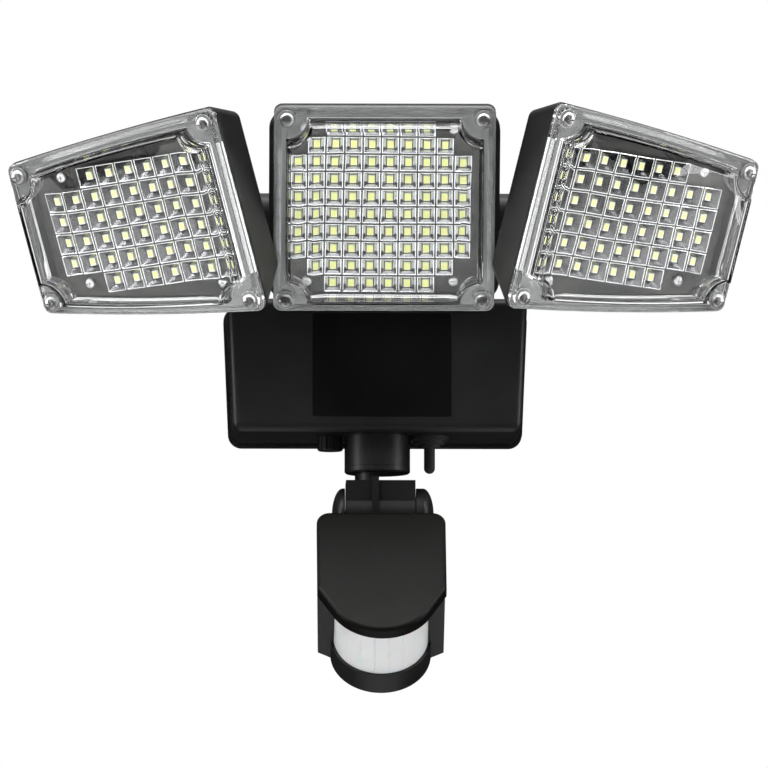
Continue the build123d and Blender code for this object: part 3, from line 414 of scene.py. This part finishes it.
moved = add(TERRACE, "GeometryNodeSetPosition",
            {"Geometry": pushed.outputs["Mesh"], "Selection": pushed.outputs["Top"],
             "Position": raised.outputs[0]})
TERRACE.links.new(moved.outputs[0], result["Geometry"])
TERRACE.links.new(pushed.outputs["Top"], result["Top"])
TERRACE.links.new(pushed.outputs["Side"], result["Side"])
print("terrace ready")


# %% A stack of terraces as a copyable part
def stack(tree, first, steps):
    """Start with a rectangle and terrace it. steps hold half width, half height, level."""
    width, height, level = first
    sheet = add(tree, "GeometryNodeMeshGrid",
                {"Size X": maths(tree, "MULTIPLY", width, 2.0),
                 "Size Y": maths(tree, "MULTIPLY", height, 2.0), "Vertices X": 2, "Vertices Y": 2})
    lifted = add(tree, "GeometryNodeTransform",
                 {"Geometry": sheet.outputs["Mesh"],
                  "Translation": add(tree, "ShaderNodeCombineXYZ", {"Z": level}).outputs[0]})
    shape, top = lifted.outputs[0], None
    for width, height, level in steps:
        values = {"Geometry": shape, "Half Width": width, "Half Height": height, "Level": level}
        values["Top"] = True if top is None else top
        step = add(tree, "GeometryNodeGroup", values, node_tree=TERRACE)
        shape, top = step.outputs["Geometry"], step.outputs["Top"]
    return shape, top


def mark(tree, shape, selection, label):
    """Remember some faces under a name, so that a material finds them after copying."""
    return add(tree, "GeometryNodeStoreNamedAttribute",
               {"Geometry": shape, "Selection": selection, "Name": label, "Value": True},
               data_type="BOOLEAN", domain="FACE").outputs[0]


def copies(tree, points, part, materials):
    """Copy the part to the points, make it real, and set materials by marked faces."""
    placed = add(tree, "GeometryNodeInstanceOnPoints", {"Points": points, "Instance": part})
    shape = add(tree, "GeometryNodeRealizeInstances", {"Geometry": placed.outputs[0]}).outputs[0]
    for label, material in materials:
        values = {"Geometry": shape, "Material": material}
        if label:
            found = add(tree, "GeometryNodeInputNamedAttribute", {"Name": label}, data_type="BOOLEAN")
            values["Selection"] = found.outputs[0]
        shape = add(tree, "GeometryNodeSetMaterial", values).outputs[0]
    return shape


print("stack, mark and copies ready")


# %% Run a tree on points and keep the plain mesh
def grow(name, points, tree, sizes, matrix):
    """Points are in millimetres on the sheet. sizes are the tree's named inputs."""
    cloud = bpy.data.meshes.new(name + "_points")
    cloud.from_pydata([Vector((x, y, z)) * MM for x, y, z in points], [], [])
    holder = bpy.data.objects.new(name + "_holder", cloud)
    bpy.context.scene.collection.objects.link(holder)
    modifier = holder.modifiers.new("grow", "NODES")
    modifier.node_group = tree
    for item in tree.interface.items_tree:
        if item.in_out == "INPUT" and item.name in sizes:
            modifier[item.identifier] = sizes[item.name]
    evaluated = holder.evaluated_get(bpy.context.evaluated_depsgraph_get())
    mesh = bpy.data.meshes.new_from_object(evaluated)
    mesh.transform(matrix)
    mesh.name = name
    bpy.data.objects.remove(holder)
    return mesh


def show(name, mesh, body, slot, *nodes, smooth=None):
    """Put a finished mesh on its body. smooth is the angle below which edges look round."""
    if smooth is not None:
        mesh.polygons.foreach_set("use_smooth", [True] * len(mesh.polygons))
        mesh.set_sharp_from_angle(angle=math.radians(smooth))
    piece = bpy.data.objects.new(name, mesh)
    bpy.context.scene.collection.objects.link(piece)
    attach(piece, body)
    if nodes:
        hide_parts(*nodes)
    print(f"{name}: {len(mesh.polygons)} faces on {body}")
    return piece


print("grow and show ready")

# %% [markdown]
# An LED package is a white tub, 2.8 by 3.5 mm, filled with yellow phosphor a
# little below its rim. Package and phosphor both get a weak painted glow, though the LEDs are off.

# %% LED tree
LED_HALF = (1.4, 1.75)
led_tree, given, result = new_group(
    "led_packages", "GeometryNodeTree",
    {"Geometry": "Geometry", "Half Width": "Float", "Half Height": "Float", "Thickness": "Float",
     "Wall": "Float", "Dish": "Float", "Package": "Material", "Phosphor": "Material"},
    {"Geometry": "Geometry"})
inner_w = maths(led_tree, "SUBTRACT", given["Half Width"], given["Wall"])
inner_h = maths(led_tree, "SUBTRACT", given["Half Height"], given["Wall"])
soft_w = maths(led_tree, "SUBTRACT", given["Half Width"], given["Dish"])
soft_h = maths(led_tree, "SUBTRACT", given["Half Height"], given["Dish"])
low = maths(led_tree, "SUBTRACT", given["Thickness"], given["Dish"])
shape, top = stack(led_tree, (given["Half Width"], given["Half Height"], 0.0), [
    (given["Half Width"], given["Half Height"], low),
    (soft_w, soft_h, given["Thickness"]),
    (inner_w, inner_h, given["Thickness"]),
    (inner_w, inner_h, low)])
led_part = mark(led_tree, shape, top, "phosphor")
led_tree.links.new(
    copies(led_tree, given["Geometry"], led_part,
           [(None, given["Package"]), ("phosphor", given["Phosphor"])]), result["Geometry"])

# %% Put the LEDs in
for head in HEADS:
    level = -REFLECTOR_FRONT - head.pocket_depth
    sizes = {"Half Width": LED_HALF[0] * MM, "Half Height": LED_HALF[1] * MM, "Thickness": 0.8 * MM,
             "Wall": (0.22 if head.side == 0 else 0.42) * MM, "Dish": 0.12 * MM,
             "Package": package_painted_glow, "Phosphor": phosphor}
    mesh = grow(head.name + "_led_packages", [(x, y, level) for x, y in head.leds()],
                led_tree, sizes, head.matrix)
    show(head.name + "_led_packages", mesh, head.body, "led_phosphor", head.name + "_leds")

# %% [markdown]
# A reflector pocket is a four-sided funnel with a rounded lip. The lip is bright silver.
# The walls are the same silver painted darker as painted shade, most of all in the deeper
# pockets of the side heads, and the narrow trench between two pockets is painted near-black
# as painted shade. Faces are told apart by where they lie, so that each kind gets its own finish.

# %% Pocket tree
pocket_tree, given, result = new_group(
    "reflector_pockets", "GeometryNodeTree",
    {"Geometry": "Geometry", "Half Pitch": "Float", "Half Row": "Float", "Trench": "Float",
     "Lip": "Float",
     "Foot Half Width": "Float", "Foot Half Height": "Float", "Depth": "Float",
     "Silver": "Material", "Wall": "Material", "Dark": "Material"},
    {"Geometry": "Geometry"})


half_trench = maths(pocket_tree, "MULTIPLY", given["Trench"], 0.5)


def step_in(lips):
    """Half sizes of the pocket at the trench's edge, moved in by so many lip widths."""
    amount = maths(pocket_tree, "MULTIPLY_ADD", given["Lip"], lips, half_trench)
    return [maths(pocket_tree, "SUBTRACT", given[half], amount) for half in ("Half Pitch", "Half Row")]


outer, edge, inside, mouth = (step_in(lips) for lips in (0.0, 0.35, 1.0, 1.5))
low_lip = maths(pocket_tree, "MULTIPLY", given["Lip"], -0.6)
deep = maths(pocket_tree, "MULTIPLY", given["Depth"], -1.0)
well = maths(pocket_tree, "MULTIPLY", given["Depth"], -0.72)
shape, top = stack(pocket_tree, (given["Half Pitch"], given["Half Row"], low_lip), [
    (*outer, low_lip), (*outer, maths(pocket_tree, "MULTIPLY", low_lip, 0.3)),
    (*edge, 0.0), (*inside, 0.0), (*mouth, low_lip),
    (given["Foot Half Width"], given["Foot Half Height"], well),
    (given["Foot Half Width"], given["Foot Half Height"], deep)])
opened = add(pocket_tree, "GeometryNodeDeleteGeometry", {"Geometry": shape, "Selection": top},
             domain="FACE").outputs[0]
height = add(pocket_tree, "ShaderNodeSeparateXYZ",
             {0: add(pocket_tree, "GeometryNodeInputPosition").outputs[0]}).outputs[2]
reach_x = add(pocket_tree, "ShaderNodeSeparateXYZ", {0: add(
    pocket_tree, "ShaderNodeVectorMath",
    {0: add(pocket_tree, "GeometryNodeInputPosition").outputs[0]},
    operation="ABSOLUTE").outputs[0]})
past = [maths(pocket_tree, "GREATER_THAN", reach_x.outputs[i],
              maths(pocket_tree, "MULTIPLY", outer[i], 0.93)) for i in (0, 1)]
in_trench = maths(pocket_tree, "MULTIPLY", maths(pocket_tree, "MAXIMUM", *past), maths(
    pocket_tree, "LESS_THAN", height, maths(pocket_tree, "MULTIPLY", low_lip, 0.62)))
pocket_part = mark(pocket_tree, opened, in_trench, "trench")
on_wall = maths(pocket_tree, "LESS_THAN", height, maths(pocket_tree, "MULTIPLY", low_lip, 1.3))
pocket_part = mark(pocket_tree, pocket_part, on_wall, "wall")
pocket_tree.links.new(
    copies(pocket_tree, given["Geometry"], pocket_part,
           [(None, given["Silver"]), ("wall", given["Wall"]), ("trench", given["Dark"])]),
    result["Geometry"])

# %% Put the pockets in
# Walls and trench get the finishes with painted shade. The side heads' deep walls are painted darkest.
for head in HEADS:
    sizes = {"Half Pitch": head.pitch / 2 * MM, "Half Row": head.row_pitch / 2 * MM,
             "Trench": 0.65 * MM, "Lip": 0.3 * MM,
             "Foot Half Width": 1.75 * MM, "Foot Half Height": 2.1 * MM,
             "Depth": head.pocket_depth * MM, "Silver": silvering,
             "Wall": shallow_wall_painted_shade if head.side == 0 else deep_wall_painted_shade, "Dark": trench_painted_shade}
    mesh = grow(head.name + "_pockets", [(x, y, -REFLECTOR_FRONT) for x, y in head.leds()],
                pocket_tree, sizes, head.matrix)
    show(head.name + "_pockets", mesh, head.body, "silvered", head.name + "_reflector")

# %% [markdown]
# ## Screws
# All screws are pan heads with a cross recess. A round plate is domed in three
# steps and two bars are cut out of it.

# %% Screw tree
screw_tree, given, result = new_group(
    "pan_screws", "GeometryNodeTree",
    {"Geometry": "Geometry", "Head Radius": "Float", "Head Rise": "Float", "Shank Radius": "Float",
     "Shank Length": "Float", "Slot": "Float", "Steel": "Material"},
    {"Geometry": "Geometry"})
disc = add(screw_tree, "GeometryNodeMeshCircle", {"Vertices": 24, "Radius": given["Head Radius"]},
           fill_type="NGON").outputs[0]
dome, top = disc, None
for share, rise in ((1.0, 0.45), (0.94, 0.72), (0.8, 0.9), (0.55, 1.0)):
    values = {"Mesh": dome, "Offset Scale": 0.0, "Individual": False}
    if top is not None:
        values["Selection"] = top
    pushed = add(screw_tree, "GeometryNodeExtrudeMesh", values, mode="FACES")
    where = add(screw_tree, "GeometryNodeInputPosition").outputs[0]
    flat = add(screw_tree, "ShaderNodeVectorMath", {0: where, 1: (1.0, 1.0, 0.0)}, operation="MULTIPLY")
    unit = add(screw_tree, "ShaderNodeVectorMath", {0: flat.outputs[0]}, operation="NORMALIZE")
    radius = maths(screw_tree, "MULTIPLY", given["Head Radius"], share)
    ring = add(screw_tree, "ShaderNodeVectorMath", {0: unit.outputs[0], "Scale": radius}, operation="SCALE")
    lift = add(screw_tree, "ShaderNodeCombineXYZ",
               {"Z": maths(screw_tree, "MULTIPLY", given["Head Rise"], rise)})
    spot = add(screw_tree, "ShaderNodeVectorMath", {0: ring.outputs[0], 1: lift.outputs[0]}, operation="ADD")
    dome = add(screw_tree, "GeometryNodeSetPosition",
               {"Geometry": pushed.outputs["Mesh"], "Selection": pushed.outputs["Top"],
                "Position": spot.outputs[0]}).outputs[0]
    top = pushed.outputs["Top"]
long_side = maths(screw_tree, "MULTIPLY", given["Head Radius"], 1.15)
bars = []
for across in (True, False):
    size = add(screw_tree, "ShaderNodeCombineXYZ",
               {"X": long_side if across else given["Slot"], "Y": given["Slot"] if across else long_side,
                "Z": given["Head Rise"]})
    bar = add(screw_tree, "GeometryNodeMeshCube", {"Size": size.outputs[0]}).outputs[0]
    bars.append(add(screw_tree, "GeometryNodeTransform",
                    {"Geometry": bar, "Translation": add(screw_tree, "ShaderNodeCombineXYZ",
                     {"Z": maths(screw_tree, "MULTIPLY", given["Head Rise"], 0.95)}).outputs[0]}).outputs[0])
cut = add(screw_tree, "GeometryNodeMeshBoolean", {"Mesh 1": dome}, operation="DIFFERENCE")
for bar in bars:
    screw_tree.links.new(bar, cut.inputs["Mesh 2"])
shank = add(screw_tree, "GeometryNodeMeshCylinder",
            {"Vertices": 12, "Radius": given["Shank Radius"], "Depth": given["Shank Length"]})
hung = add(screw_tree, "GeometryNodeTransform",
           {"Geometry": shank.outputs["Mesh"], "Translation": add(
               screw_tree, "ShaderNodeCombineXYZ",
               {"Z": maths(screw_tree, "MULTIPLY", given["Shank Length"], -0.5)}).outputs[0]})
whole = add(screw_tree, "GeometryNodeJoinGeometry")
screw_tree.links.new(cut.outputs["Mesh"], whole.inputs[0])
screw_tree.links.new(hung.outputs[0], whole.inputs[0])
screw_tree.links.new(copies(screw_tree, given["Geometry"], whole.outputs[0],
                            [(None, given["Steel"])]), result["Geometry"])


def screws(head, kind, points, screw):
    """Put one kind of a head's screws in. Each replaces the CAD screws of that kind."""
    radius, rise, shank, length = screw
    sizes = {"Head Radius": radius * MM, "Head Rise": rise * MM, "Shank Radius": shank * MM,
             "Shank Length": length * MM, "Slot": SCREW_SLOT * MM, "Steel": plated_steel}
    name = head.name + kind
    mesh = grow(name + "_heads", points, screw_tree, sizes, head.matrix)
    show(name + "_heads", mesh, head.body, "bright_steel", name + "s", smooth=32)


print("screw tree ready")


# %% Screws of the heads
def inset_corners(corners, inset):
    """Corners of a polygon whose sides have all moved in by inset."""
    moved, count = [], len(corners)
    for i in range(count):
        a, b, c = (Vector(corners[(i + k) % count]) for k in (-1, 0, 1))
        d0, d1 = (b - a).normalized(), (c - b).normalized()
        n0, n1 = Vector((-d0.y, d0.x)), Vector((-d1.y, d1.x))
        turn_size = 1 + n0.dot(n1)
        moved.append(b + (n0 + n1) * (inset / turn_size))
    return moved


for head in HEADS:
    bosses = inset_corners(head.corners(), BOSS_INSET)
    screws(head, "_cover_screw", [(p.x, p.y, BOSS_RISE) for p in bosses], COVER_SCREW)
    level = -REFLECTOR_FRONT - head.pocket_depth
    screws(head, "_board_screw", [(x, y, level) for x, y in head.screws], BOARD_SCREW)

# %% [markdown]
# ## Clear covers
# A cover is one thin shell. Its section is a path of inset and height: from the
# inside of the window, round the flange and up to the outside. The same path
# runs round a plain rounded outline at the flange, and round an outline with scooped
# corners at the window. Many short steps at the edges catch the light as on the
# real moulding.

# %% Outlines of the cover
ARC_STEPS, EDGE_STEPS = 14, 12


def with_edges(head, arcs):
    """Join the four corner arcs by edges. The upper and lower edges bow outwards."""
    loop = []
    for i, arc in enumerate(arcs):
        start, end = arc[-1], arcs[(i + 1) % 4][0]
        loop += arc
        for k in range(1, EDGE_STEPS):
            t = k / EDGE_STEPS
            bow = head.bow * (i % 2 == 0) * 4 * t * (1 - t)
            loop.append(start.lerp(end, t) + Vector((0, bow if i else -bow)))
    return loop


def plain_loop(head, inset):
    """Rounded outline: the same count of points in each corner."""
    arcs, radius = [], max(HEAD_CORNER - inset, 1.0)
    base = inset_corners(head.corners(), inset)
    centres = inset_corners(head.corners(), inset + radius)
    for i, centre in enumerate(centres):
        before, after = base[i - 1], base[(i + 1) % 4]
        d0, d1 = (base[i] - before).normalized(), (after - base[i]).normalized()
        start = math.atan2(-d0.x, d0.y)
        sweep = math.atan2(d0.x * d1.y - d0.y * d1.x, d0.dot(d1))
        angles = [start + sweep * k / ARC_STEPS for k in range(ARC_STEPS + 1)]
        arcs.append([centre + radius * Vector((math.cos(a), math.sin(a))) for a in angles])
    return with_edges(head, arcs)


def scooped_loop(head, inset):
    """Outline with a round bite at each boss."""
    arcs, bite = [], BOSS_CLEAR + inset - COVER_INSET
    base = inset_corners(head.corners(), inset)
    bosses = inset_corners(head.corners(), BOSS_INSET)
    for i, boss in enumerate(bosses):
        before, after = base[i - 1], base[(i + 1) % 4]
        ends = []
        for a, b in ((before, base[i]), (base[i], after)):
            along = (b - a).normalized()
            foot = a + along * (boss - a).dot(along)
            half = math.sqrt(bite ** 2 - (boss - foot).length_squared)
            ends.append(foot - along * half if a is before else foot + along * half)
        a0 = math.atan2(*(ends[0] - boss).yx)
        a1 = math.atan2(*(ends[1] - boss).yx)
        sweep = (a1 - a0) % (2 * math.pi) - 2 * math.pi
        angles = [a0 + sweep * k / ARC_STEPS for k in range(ARC_STEPS + 1)]
        arcs.append([boss + bite * Vector((math.cos(a), math.sin(a))) for a in angles])
    return with_edges(head, arcs)


print("loop points", len(plain_loop(HEADS[0], 0)), len(scooped_loop(HEADS[0], 5)))

# %% Section of the cover
# Each step: outline kind, inset, height above the rim plane.
TOP = COVER_HEIGHT
SECTION = (
    [(scooped_loop, COVER_INSET + COVER_WALL + 1.2, TOP - COVER_WALL),
     (scooped_loop, COVER_INSET + COVER_WALL + 0.35, TOP - COVER_WALL - 0.2),
     (scooped_loop, COVER_INSET + COVER_WALL, TOP - COVER_WALL - 0.9),
     (scooped_loop, COVER_INSET + COVER_WALL, 6.6), (scooped_loop, COVER_INSET + 1.3, 6.0),
     (scooped_loop, COVER_INSET + 1.3, 0.3), (scooped_loop, COVER_INSET + 1.0, 0.0)]
    + [(plain_loop, 3.0, 0.0), (plain_loop, 0.25, 0.0), (plain_loop, 0.0, 0.25),
       (plain_loop, 0.0, FLANGE - 0.7), (plain_loop, 0.15, FLANGE - 0.25), (plain_loop, 0.6, FLANGE)]
    + [(plain_loop, 0.85 + 0.6 * k + d, FLANGE - h) for k in range(4)
       for d, h in ((0, 0), (0.12, 0.4), (0.3, 0.4), (0.42, 0))]
    + [(scooped_loop, COVER_INSET - 0.7, FLANGE), (scooped_loop, COVER_INSET - 0.25, FLANGE + 0.12),
       (scooped_loop, COVER_INSET - 0.02, FLANGE + 0.6), (scooped_loop, COVER_INSET, 7.2),
       (scooped_loop, COVER_INSET + 0.12, 7.6), (scooped_loop, COVER_INSET + 0.5, 7.8),
       (scooped_loop, COVER_INSET + 0.62, 8.1), (scooped_loop, COVER_INSET + 0.65, TOP - 1.4),
       (scooped_loop, COVER_INSET + 0.8, TOP - 0.75), (scooped_loop, COVER_INSET + 1.15, TOP - 0.3),
       (scooped_loop, COVER_INSET + 1.7, TOP - 0.05), (scooped_loop, COVER_INSET + 2.3, TOP)])


def skin(head):
    """The cover's shell without its bosses, as a closed mesh."""
    work = bmesh.new()
    loops = []
    for outline, inset, height in SECTION:
        loops.append([work.verts.new((p.x * MM, p.y * MM, height * MM)) for p in outline(head, inset)])
    for low, high in zip(loops, loops[1:]):
        for i in range(len(low)):
            j = (i + 1) % len(low)
            work.faces.new((low[i], low[j], high[j], high[i]))
    work.faces.new(list(reversed(loops[0])))
    work.faces.new(loops[-1])
    bmesh.ops.recalc_face_normals(work, faces=work.faces)
    mesh = bpy.data.meshes.new(head.name + "_cover_skin")
    work.to_mesh(mesh)
    work.free()
    return mesh


print("section steps", len(SECTION))


# %% Bosses and screw holes
def lathe_rods(points, profile, segments=32):
    """Turned rods on the sheet. profile is a list of radius and height, bottom to top."""
    work = bmesh.new()
    for point in points:
        rings = []
        for radius, height in profile:
            rings.append([work.verts.new(((point.x + radius * math.cos(a)) * MM,
                                          (point.y + radius * math.sin(a)) * MM, height * MM))
                          for a in (2 * math.pi * k / segments for k in range(segments))])
        for low, high in zip(rings, rings[1:]):
            for i in range(segments):
                j = (i + 1) % segments
                work.faces.new((low[i], low[j], high[j], high[i]))
        work.faces.new(list(reversed(rings[0])))
        work.faces.new(rings[-1])
    mesh = bpy.data.meshes.new("rods")
    work.to_mesh(mesh)
    work.free()
    holder = bpy.data.objects.new("rods", mesh)
    bpy.context.scene.collection.objects.link(holder)
    return holder


def combined(mesh, tools):
    """Join or cut with each tool in turn, and return the plain mesh."""
    holder = bpy.data.objects.new("work", mesh)
    bpy.context.scene.collection.objects.link(holder)
    for operation, tool in tools:
        modifier = holder.modifiers.new(operation, "BOOLEAN")
        modifier.operation, modifier.object, modifier.solver = operation, tool, "EXACT"
    evaluated = holder.evaluated_get(bpy.context.evaluated_depsgraph_get())
    made = bpy.data.meshes.new_from_object(evaluated)
    for thing in [holder] + [tool for _, tool in tools]:
        bpy.data.objects.remove(thing)
    return made


# Faces above this height that look this much forwards belong to the pale flange and get its painted
# highlight.
FLANGE_GROOVE, FACES_FRONT = FLANGE - 0.5, 0.3
for head in HEADS:
    bosses = inset_corners(head.corners(), BOSS_INSET)
    posts = lathe_rods(bosses, [(BOSS_RADIUS, 0.6), (BOSS_RADIUS, BOSS_RISE - 0.5),
                                (BOSS_RADIUS - 0.15, BOSS_RISE - 0.15), (BOSS_RADIUS - 0.5, BOSS_RISE)])
    holes = lathe_rods(bosses, [(SCREW_HOLE, -1.0), (SCREW_HOLE, BOSS_RISE + 1.0)])
    mesh = combined(skin(head), [("UNION", posts), ("DIFFERENCE", holes)])
    mesh.materials.clear()
    mesh.materials.append(clear_cover)
    mesh.materials.append(flange_painted_highlight)
    for face in mesh.polygons:
        on_flange = FLANGE_GROOVE < face.center.z / MM < BOSS_RISE + 0.1
        face.material_index = int(on_flange and face.normal.z > FACES_FRONT)
    mesh.transform(head.matrix)
    show(head.name + "_clear_cover", mesh, head.body, "clear_plastic", head.name + "_cover", smooth=28)

# %% [markdown]
# ## Sensor lens
# The sensor's window is a half cylinder of milky plastic, pressed into bands of small
# facets, each a lens of its own. A grid on the cylinder is dented along the borders
# of the facets and then given a wall.

# %% Place of the sensor
SENSOR_TILT, HINGE_BACK, HINGE_RISE = 54.0, 48.6, 32.5
SENSOR_X, SERVICE_Y, HINGE_Z = 1.7, -39.5, -61.3
SENSOR = (shift(SENSOR_X, SERVICE_Y, HINGE_Z) @ turn("X", SENSOR_TILT)
          @ shift(0, -HINGE_BACK, -HINGE_RISE))
LENS_RADIUS, LENS_LOW, LENS_HIGH, LENS_WALL = 19.8, 10.9, 41.9, 1.2


def facet_dent(share, count):
    """0 in the middle of a facet, 1 on its border."""
    local = abs((share * count) % 1.0 - 0.5) * 2
    return max(0.0, (local - 0.86) / 0.14)


# %% Faceted lens mesh
columns, rows, across, up = 11, 4, 12, 8
work = bmesh.new()
grid = []
for j in range(rows * up + 1):
    line = []
    for i in range(columns * across + 1):
        u, v = i / (columns * across), j / (rows * up)
        angle = math.radians(-192 + 204 * u)
        dent = max(facet_dent(u, columns), facet_dent(v, rows)) if 0 < j < rows * up else 0
        radius = LENS_RADIUS - 0.05 - 0.22 * dent
        line.append(work.verts.new((
            radius * math.cos(angle) * MM, radius * math.sin(angle) * MM,
            (LENS_LOW + (LENS_HIGH - LENS_LOW) * v) * MM)))
    grid.append(line)
for low, high in zip(grid, grid[1:]):
    for i in range(len(low) - 1):
        work.faces.new((low[i], low[i + 1], high[i + 1], high[i]))
bmesh.ops.solidify(work, geom=work.faces[:], thickness=LENS_WALL * MM)
bmesh.ops.recalc_face_normals(work, faces=work.faces)
lens_mesh = bpy.data.meshes.new("sensor_window")
work.to_mesh(lens_mesh)
work.free()
lens_mesh.transform(SENSOR)
lens_mesh.materials.append(milky)
show("sensor_window", lens_mesh, "sensor_head", "milky_lens", "sensor_lens", smooth=40)

# %% [markdown]
# ## Studio
# A pale round floor lies below the light and everything beyond it is white. Large soft
# lamps stand above, two narrow ones at the sides and one below. The world is white
# where the camera looks straight at it or straight through a clear cover. Rays that
# bounced see a dim room that is bright only overhead and far below, and no floor,
# because a lit floor mirrored in the covers would hide the boards behind a grey veil.

# %% Floor
bpy.ops.mesh.primitive_circle_add(vertices=96, radius=1.3, fill_type="NGON", location=(0, 0, -0.33))
floor = bpy.context.object
floor.name = "studio_floor"
floor_material = bpy.data.materials.new("pale_floor")
floor_material.use_nodes = True
tree = floor_material.node_tree
shader = tree.nodes["Principled BSDF"]
spots = add(tree, "ShaderNodeTexNoise", {"Vector": add(tree, "ShaderNodeTexCoord").outputs["Object"],
                                         "Scale": 3.0})
pale = add(tree, "ShaderNodeMix", {0: spots.outputs["Fac"], 6: (0.86, 0.86, 0.86, 1),
                                   7: (0.9, 0.9, 0.9, 1)}, data_type="RGBA")
tree.links.new(pale.outputs[2], shader.inputs["Base Color"])
shader.inputs["Roughness"].default_value = 0.8
floor.data.materials.append(floor_material)
floor.visible_glossy = False
floor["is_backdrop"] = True

# %% World
world = bpy.data.worlds.new("studio_world")
bpy.context.scene.world = world
world.use_nodes = True
tree = world.node_tree
tree.nodes.clear()
direction = add(tree, "ShaderNodeTexCoord").outputs["Generated"]
parts = add(tree, "ShaderNodeSeparateXYZ", {0: direction})
above = add(tree, "ShaderNodeMapRange", {"Value": parts.outputs[2], "From Min": 0.3, "From Max": 0.95,
                                         "To Min": 0.015, "To Max": 1.1})
below = add(tree, "ShaderNodeMapRange", {"Value": parts.outputs[2], "From Min": -0.75, "From Max": -0.92,
                                         "To Min": 0.0, "To Max": 0.7})
bright = add(tree, "ShaderNodeMath", {0: above.outputs[0], 1: below.outputs[0]}, operation="ADD")
path = add(tree, "ShaderNodeLightPath")
bounced = maths(tree, "ADD", path.outputs["Glossy Depth"], path.outputs["Diffuse Depth"])
straight = maths(tree, "MULTIPLY", path.outputs["Is Transmission Ray"],
                 maths(tree, "LESS_THAN", bounced, 0.5))
seen = maths(tree, "MAXIMUM", path.outputs["Is Camera Ray"], straight)
level = add(tree, "ShaderNodeMix", {0: seen, 2: bright.outputs[0], 3: 1.0}, data_type="FLOAT")
glow = add(tree, "ShaderNodeBackground", {"Color": (1, 1, 1, 1), "Strength": level.outputs[0]})
tree.links.new(glow.outputs[0], add(tree, "ShaderNodeOutputWorld").inputs["Surface"])


# %% Lamps
def soft_lamp(name, place, target, width, height, power, mirrored=True):
    light = bpy.data.lights.new(name, "AREA")
    light.shape, light.size, light.size_y, light.energy = "RECTANGLE", width, height, power
    lamp = bpy.data.objects.new(name, light)
    lamp.location = place
    lamp.rotation_mode = "QUATERNION"
    lamp.rotation_quaternion = (Vector(target) - Vector(place)).to_track_quat("-Z", "Y")
    lamp.visible_camera = False
    lamp.visible_glossy = mirrored
    bpy.context.scene.collection.objects.link(lamp)


soft_lamp("upper_left_lamp", (-0.9, -0.9, 1.1), (0, -0.05, 0), 0.7, 0.7, 20.0)
soft_lamp("upper_right_lamp", (1.0, -0.7, 0.9), (0, -0.05, 0), 0.6, 0.6, 11.0)
soft_lamp("top_lamp", (0, -0.35, 1.4), (0, -0.05, 0), 1.2, 0.6, 12.0)
soft_lamp("left_strip", (-1.3, -0.35, 0.0), (0, -0.05, 0), 0.25, 1.2, 8.0)
soft_lamp("right_strip", (1.3, -0.35, 0.0), (0, -0.05, 0), 0.25, 1.2, 7.0)
soft_lamp("low_lamp", (-0.1, -0.8, -1.0), (0, -0.05, -0.05), 0.9, 0.5, 12.0, mirrored=False)

# %% [markdown]
# ## Camera
# The photograph looks straight at the lamp from slightly below with a long lens.

# %% Set the camera
AZIMUTH, ELEVATION, DISTANCE, FRAME_WIDTH = -1.0, -6.0, 6.0, 0.3195
a, e = math.radians(AZIMUTH), math.radians(ELEVATION)
right = Vector((math.cos(a), math.sin(a), 0))
forward = Vector((-math.sin(a) * math.cos(e), math.cos(a) * math.cos(e), -math.sin(e)))
up = right.cross(forward)
aim = right * 3.9 * MM - up * 1.7 * MM + forward * -70 * MM
camera = bpy.data.objects.new("camera", bpy.data.cameras.new("camera"))
bpy.context.scene.collection.objects.link(camera)
camera.matrix_world = Matrix.Translation(aim - forward * DISTANCE) @ Matrix(
    (right, up, -forward)).transposed().to_4x4()
camera.data.lens = camera.data.sensor_width * DISTANCE / FRAME_WIDTH
camera.data.clip_end = 20.0
bpy.context.scene.camera = camera
bpy.context.scene.view_settings.view_transform = "Standard"

low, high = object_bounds()
